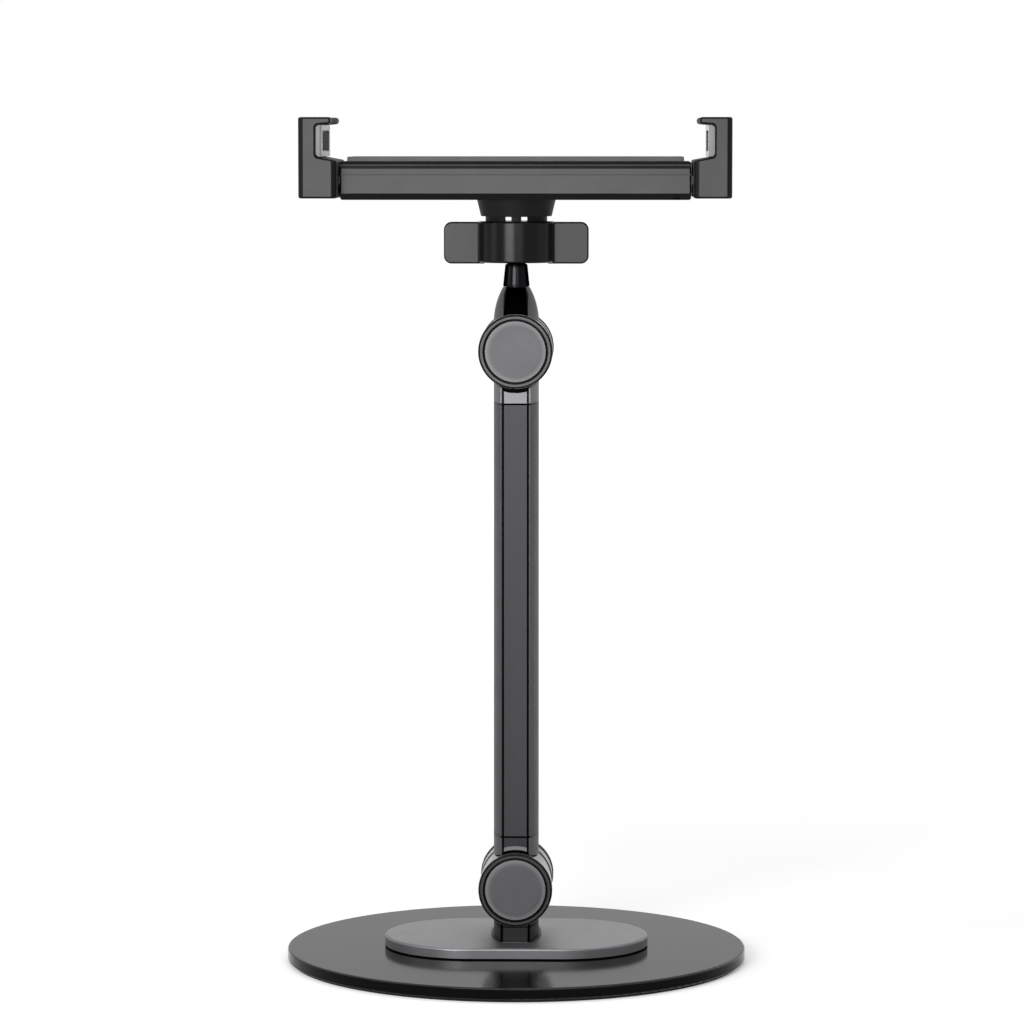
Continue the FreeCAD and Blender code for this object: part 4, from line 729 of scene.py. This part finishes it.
for side, turn in (("right", 0.0), ("left", math.pi)):
    pad_mesh, window_middle = jaw_pad()
    inlay_mesh = window_inlay(window_middle)
    for mesh in (pad_mesh, inlay_mesh):
        bmesh.ops.rotate(mesh, cent=(0, 0, 0), matrix=Matrix.Rotation(turn, 3, "Z"), verts=mesh.verts)
    pad = new_piece(f"{side}_jaw_pad", pad_mesh, side, "grey_silicone", [silicone], f"{side}_pad")
    new_piece(f"{side}_pad_inlay", inlay_mesh, side, "black_rubber", [rubber])

# %% [markdown]
# The rest strips
#
# Two rubber strips lie along the top of the bar, and the tablet's back rests on them. They are extruded,
# so three fine grooves run their whole length. A long box gets rounded corners and a softened top edge,
# then its top is cut into lanes and every other lane is sunk.


# %% Strips with grooves
STRIP_CORNER, STRIP_EDGE = 0.9, 0.45
GROOVE_WIDTH, GROOVE_STEP, GROOVE_DEPTH, GROOVE_TAPER = 0.7, 1.7, 0.35, 0.12

for side in ("front", "rear"):
    low, high = box_of(f"{side}_rest_strip")
    mesh = block(low, high)
    round_off(mesh, STRIP_CORNER, 5, lambda edge: runs(edge, Z))
    round_off(mesh, STRIP_EDGE, 4, lambda edge: is_at(edge, Z, high.z))
    centre = (low.y + high.y) / 2
    lanes = [centre + GROOVE_STEP * n for n in (-1, 0, 1)]
    cut_across(mesh, Y, [lane + GROOVE_WIDTH / 2 * end for lane in lanes for end in (-1, 1)])
    sunk = [face for face in mesh.faces if face.normal.z > ALIGNED
            and any(abs(face.calc_center_median().y - lane) < GROOVE_WIDTH / 2 for lane in lanes)]
    bmesh.ops.inset_individual(mesh, faces=sunk, thickness=GROOVE_TAPER, depth=-GROOVE_DEPTH)
    new_piece(f"{side}_grip_strip", mesh, "holder", "black_rubber", [grip_rubber], f"{side}_rest_strip")

# %% [markdown]
# The pad under the base and the gasket under the foot plate
#
# A thin rubber disc is glued under the base so that it doesn't slide or scratch. It is turned, so half of
# its section is drawn as a few points and spun round. Ring grooves let air out from under it. The gasket
# is a thin sheet with round ends between the base and the foot plate: a circle, pulled apart in the
# middle, then given its thickness.


# %% Base pad
PAD_RIM = 0.3
RINGS = (30.0, 55.0, 78.0)
RING_HALF, RING_FLOOR_HALF, RING_DEPTH = 0.8, 0.5, 0.45

low, high = box_of("base_pad")
radius, top = high.x, high.z
section = [(0, top), (radius - PAD_RIM, top), (radius, top - PAD_RIM), (radius, PAD_RIM),
           (radius - PAD_RIM, 0)]
for ring in reversed(RINGS):
    section += [(ring + RING_HALF, 0), (ring + RING_FLOOR_HALF, RING_DEPTH),
                (ring - RING_FLOOR_HALF, RING_DEPTH), (ring - RING_HALF, 0)]
section.append((0, 0))
mesh = bmesh.new()
points = [mesh.verts.new((r, 0, z)) for r, z in section]
rails = [mesh.edges.new(pair) for pair in zip(points, points[1:])]
bmesh.ops.spin(mesh, geom=points + rails, cent=(0, 0, 0), axis=(0, 0, 1), angle=2 * math.pi, steps=144,
               use_merge=True, use_duplicate=False)
base_pad = new_piece("ringed_base_pad", mesh, "root", "black_rubber", [rubber], "base_pad")

# %% Foot gasket
GASKET_EDGE = 0.15

low, high = box_of("foot_gasket")
mesh = bmesh.new()
bmesh.ops.create_circle(mesh, cap_ends=True, radius=high.y, segments=96)
for end in (-1, 1):
    half = [v for v in mesh.verts if v.co.x * end > TOUCH]
    bmesh.ops.translate(mesh, vec=((high.x - high.y) * end, 0, 0), verts=half)
bmesh.ops.translate(mesh, vec=(0, 0, low.z), verts=mesh.verts)
raised = bmesh.ops.extrude_face_region(mesh, geom=mesh.faces[:], use_keep_orig=True)["geom"]
bmesh.ops.translate(mesh, vec=(0, 0, high.z - low.z),
                    verts=[item for item in raised if isinstance(item, bmesh.types.BMVert)])
round_off(mesh, GASKET_EDGE, 2, lambda edge: is_at(edge, Z, high.z) or is_at(edge, Z, low.z))
new_piece("round_foot_gasket", mesh, "root", "black_rubber", [rubber], "foot_gasket")

# %% [markdown]
# The screws that show
#
# Under the bar and the jaws, countersunk screws lie flush in their holes. A countersunk head is a flat
# face with a thin chamfer and a cone down to the shank, and a cross is pressed into it. The cross is a
# grid of nine squares without its corners. It is bridged to a circle, the circle is drawn out into the
# cone and the shank, and the cross is sunk. Its sizes follow the head's radius, as on real screws. One
# screw is made, and then copied to each hole.


# %% A countersunk screw, with its face at nought and its shank upwards
CROSS_REACH, CROSS_HALF, CROSS_TAPER, CROSS_DEPTH = 0.62, 0.17, 0.7, 0.5
CHAMFER_WIDTH, CHAMFER_HEIGHT = 0.15, 0.12
TIP_LENGTH, TIP_TAPER = 0.3, 0.7


def countersunk_screw(head, shank, length):
    mesh = bmesh.new()
    reach, half = head * CROSS_REACH, head * CROSS_HALF
    bmesh.ops.create_grid(mesh, x_segments=3, y_segments=3, size=reach)
    for vertex in mesh.verts:
        for axis in (X, Y):
            if abs(vertex.co[axis]) < reach / 2:
                vertex.co[axis] = math.copysign(half, vertex.co[axis])
    corners = [face for face in mesh.faces if min(abs(n) for n in face.calc_center_median().xy) > half]
    bmesh.ops.delete(mesh, geom=corners, context="FACES")
    cross = mesh.faces[:]
    cross_rim = [edge for edge in mesh.edges if edge.is_boundary]
    circle = bmesh.ops.create_circle(mesh, cap_ends=False, radius=head - CHAMFER_WIDTH, segments=24)
    ring = list({edge for vertex in circle["verts"] for edge in vertex.link_edges})
    bmesh.ops.bridge_loops(mesh, edges=cross_rim + ring)
    outline = [(head, CHAMFER_HEIGHT), (shank, head - shank), (shank, length - TIP_LENGTH),
               (shank * TIP_TAPER, length)]
    for radius, height in outline:
        drawn = bmesh.ops.extrude_edge_only(mesh, edges=ring)["geom"]
        ring = [item for item in drawn if isinstance(item, bmesh.types.BMEdge)]
        rim = [item for item in drawn if isinstance(item, bmesh.types.BMVert)]
        factor = radius / math.hypot(*rim[0].co.xy)
        rise = height - rim[0].co.z
        bmesh.ops.scale(mesh, vec=(factor, factor, 1), verts=rim)
        bmesh.ops.translate(mesh, vec=(0, 0, rise), verts=rim)
    bmesh.ops.contextual_create(mesh, geom=ring)
    sunk = draw_out(mesh, cross)
    bmesh.ops.scale(mesh, vec=(CROSS_TAPER, CROSS_TAPER, 1), verts=sunk)
    bmesh.ops.translate(mesh, vec=(0, 0, head * CROSS_DEPTH), verts=sunk)
    return mesh


# %% Put a screw in each hole
# The body, the head's and the shank's radius in millimetres, and the X and Y of each hole.
SCREW_HOLES = {
    "cover_screws": ("holder", 2.4, 1.25, [(24, 0), (-24, 0), (-69, 18.7), (69, -18.7)]),
    "left_jaw_screws": ("left", 2.8, 1.5, [(-80.1, -9), (-80.1, 9)]),
    "right_jaw_screws": ("right", 2.8, 1.5, [(80.1, -9), (80.1, 9)]),
}
for name, (body, head, shank, holes) in SCREW_HOLES.items():
    low, high = box_of(name)
    one = countersunk_screw(head, shank, high.z - low.z)
    single = bpy.data.meshes.new("screw")
    one.to_mesh(single)
    one.free()
    group = bmesh.new()
    for x, y in holes:
        before = len(group.verts)
        group.from_mesh(single)
        group.verts.ensure_lookup_table()
        bmesh.ops.translate(group, vec=(x, y, low.z), verts=group.verts[before:])
    bpy.data.meshes.remove(single)
    new_piece(f"cross_{name}", group, body, "black_steel", [steel], name)

# %% [markdown]
# The floor
#
# The stand is shown on white. The floor is a plain pale sheet, and its own colour would come out a little
# grey and uneven under the lamps. So the camera, and anything that mirrors or lets through the floor, sees
# it with a glow of its own added, which lifts it to white but leaves the soft shadow in place. Far away,
# where the lamps don't reach and no shadow falls, the glow is stronger, so that the floor meets the
# background without a line.


# %% Floor
FLOOR_HALF = 6.0
GLOW_NEAR, GLOW_FAR = 0.3, 2.2
WEAK_GLOW, STRONG_GLOW = 0.28, 0.85

floor_mesh = bmesh.new()
bmesh.ops.create_grid(floor_mesh, x_segments=1, y_segments=1, size=FLOOR_HALF)
floor_data = bpy.data.meshes.new("floor")
floor_mesh.to_mesh(floor_data)
floor_mesh.free()
floor = bpy.data.objects.new("floor", floor_data)
bpy.context.scene.collection.objects.link(floor)


def seen_directly(tree):
    """One for rays from the camera, a mirror or glass, and nought for light that only bounces."""
    path = add_node(tree, "ShaderNodeLightPath")
    return combine(tree, "MAXIMUM", *(path.outputs[f"Is {kind} Ray"]
                                      for kind in ("Camera", "Glossy", "Transmission")))


floor_paper, floor_tree, floor_shader = new_material("floor_paper", {
    "Base Color": linear("#E9E9E9"), "Roughness": 0.9, "Specular IOR Level": 0.0,
    "Emission Color": linear("#FFFFFF")})
place = add_node(floor_tree, "ShaderNodeTexCoord")
distance = add_node(floor_tree, "ShaderNodeVectorMath", {"operation": "LENGTH"}, {
    0: place.outputs["Object"]})
glow = add_node(floor_tree, "ShaderNodeMapRange", inputs={
    "Value": distance.outputs["Value"], "From Min": GLOW_NEAR, "From Max": GLOW_FAR,
    "To Min": WEAK_GLOW, "To Max": STRONG_GLOW})
shown = combine(floor_tree, "MULTIPLY", seen_directly(floor_tree), glow.outputs["Result"])
floor_tree.links.new(shown, floor_shader.inputs["Emission Strength"])
floor_data.materials.append(floor_paper)

# %% [markdown]
# Light
#
# Black things show their form by what they reflect. The world is an even white to the camera and in
# reflections, and a softer grey as light. A low wide softbox in front, to the left, draws the streak on
# the nut's barrel and the stem, and a weak one right of the middle fills in. One at each side shapes the
# mast's bowed flanks, the left one stronger, and a broad one overhead lights the foot and the base.


# %% World and softboxes
BOUNCED_STRENGTH = 0.36

world = bpy.data.worlds.new("studio")
bpy.context.scene.world = world
world.use_nodes = True
world_tree = world.node_tree
level = add_node(world_tree, "ShaderNodeMapRange", inputs={
    "Value": seen_directly(world_tree), "To Min": BOUNCED_STRENGTH, "To Max": 1.0})
world_tree.links.new(level.outputs["Result"], world_tree.nodes["Background"].inputs["Strength"])
world_tree.nodes["Background"].inputs["Color"].default_value = linear("#FFFFFF")

TARGET = Vector((0, 0, 0.25))
# Each lamp's place and its two sides in metres, and its power in watts.
SOFTBOXES = {
    "front_softbox": ((-0.36, -1.05, 0.42), (0.5, 0.3), 9.5),
    "fill_softbox": ((0.22, -1.3, 0.42), (0.44, 0.3), 1.8),
    "left_softbox": ((-1.9, -0.7, 0.9), (0.6, 1.4), 7),
    "right_softbox": ((2.0, -0.4, 0.8), (0.6, 1.4), 1),
    "top_softbox": ((0.1, 0.5, 1.9), (1.3, 1.3), 14),
}
for name, (spot, sides, watts) in SOFTBOXES.items():
    lamp = bpy.data.lights.new(name, "AREA")
    lamp.shape = "RECTANGLE"
    lamp.size, lamp.size_y = sides
    lamp.energy = watts
    box = bpy.data.objects.new(name, lamp)
    box.location = spot
    box.rotation_mode = "QUATERNION"
    box.rotation_quaternion = (TARGET - Vector(spot)).to_track_quat("-Z", "Y")
    box.visible_camera = False
    bpy.context.scene.collection.objects.link(box)
print(len(SOFTBOXES), "softboxes,", sum(row[2] for row in SOFTBOXES.values()), "W in all")

# %% [markdown]
# Camera
#
# The photograph was taken from just under two metres away with a long lens, a little to the right of the
# middle and at the holder's own height. So the base is seen as a slim ellipse and the holder edge on.


# %% Camera
CAMERA_PLACE = Vector((0.0370, -1.8913, 0.3570))
CAMERA_PITCH = math.radians(4.85)
CAMERA_YAW = math.radians(1.178)
SENSOR_WIDTH, FOCAL_LENGTH = 36.0, 153.5

camera_data = bpy.data.cameras.new("camera")
camera_data.sensor_width = SENSOR_WIDTH
camera_data.lens = FOCAL_LENGTH
camera = bpy.data.objects.new("camera", camera_data)
camera.location = CAMERA_PLACE
camera.rotation_euler = (math.radians(90) - CAMERA_PITCH, 0, CAMERA_YAW)
bpy.context.scene.collection.objects.link(camera)
bpy.context.scene.camera = camera
bpy.context.scene.view_settings.view_transform = "Standard"
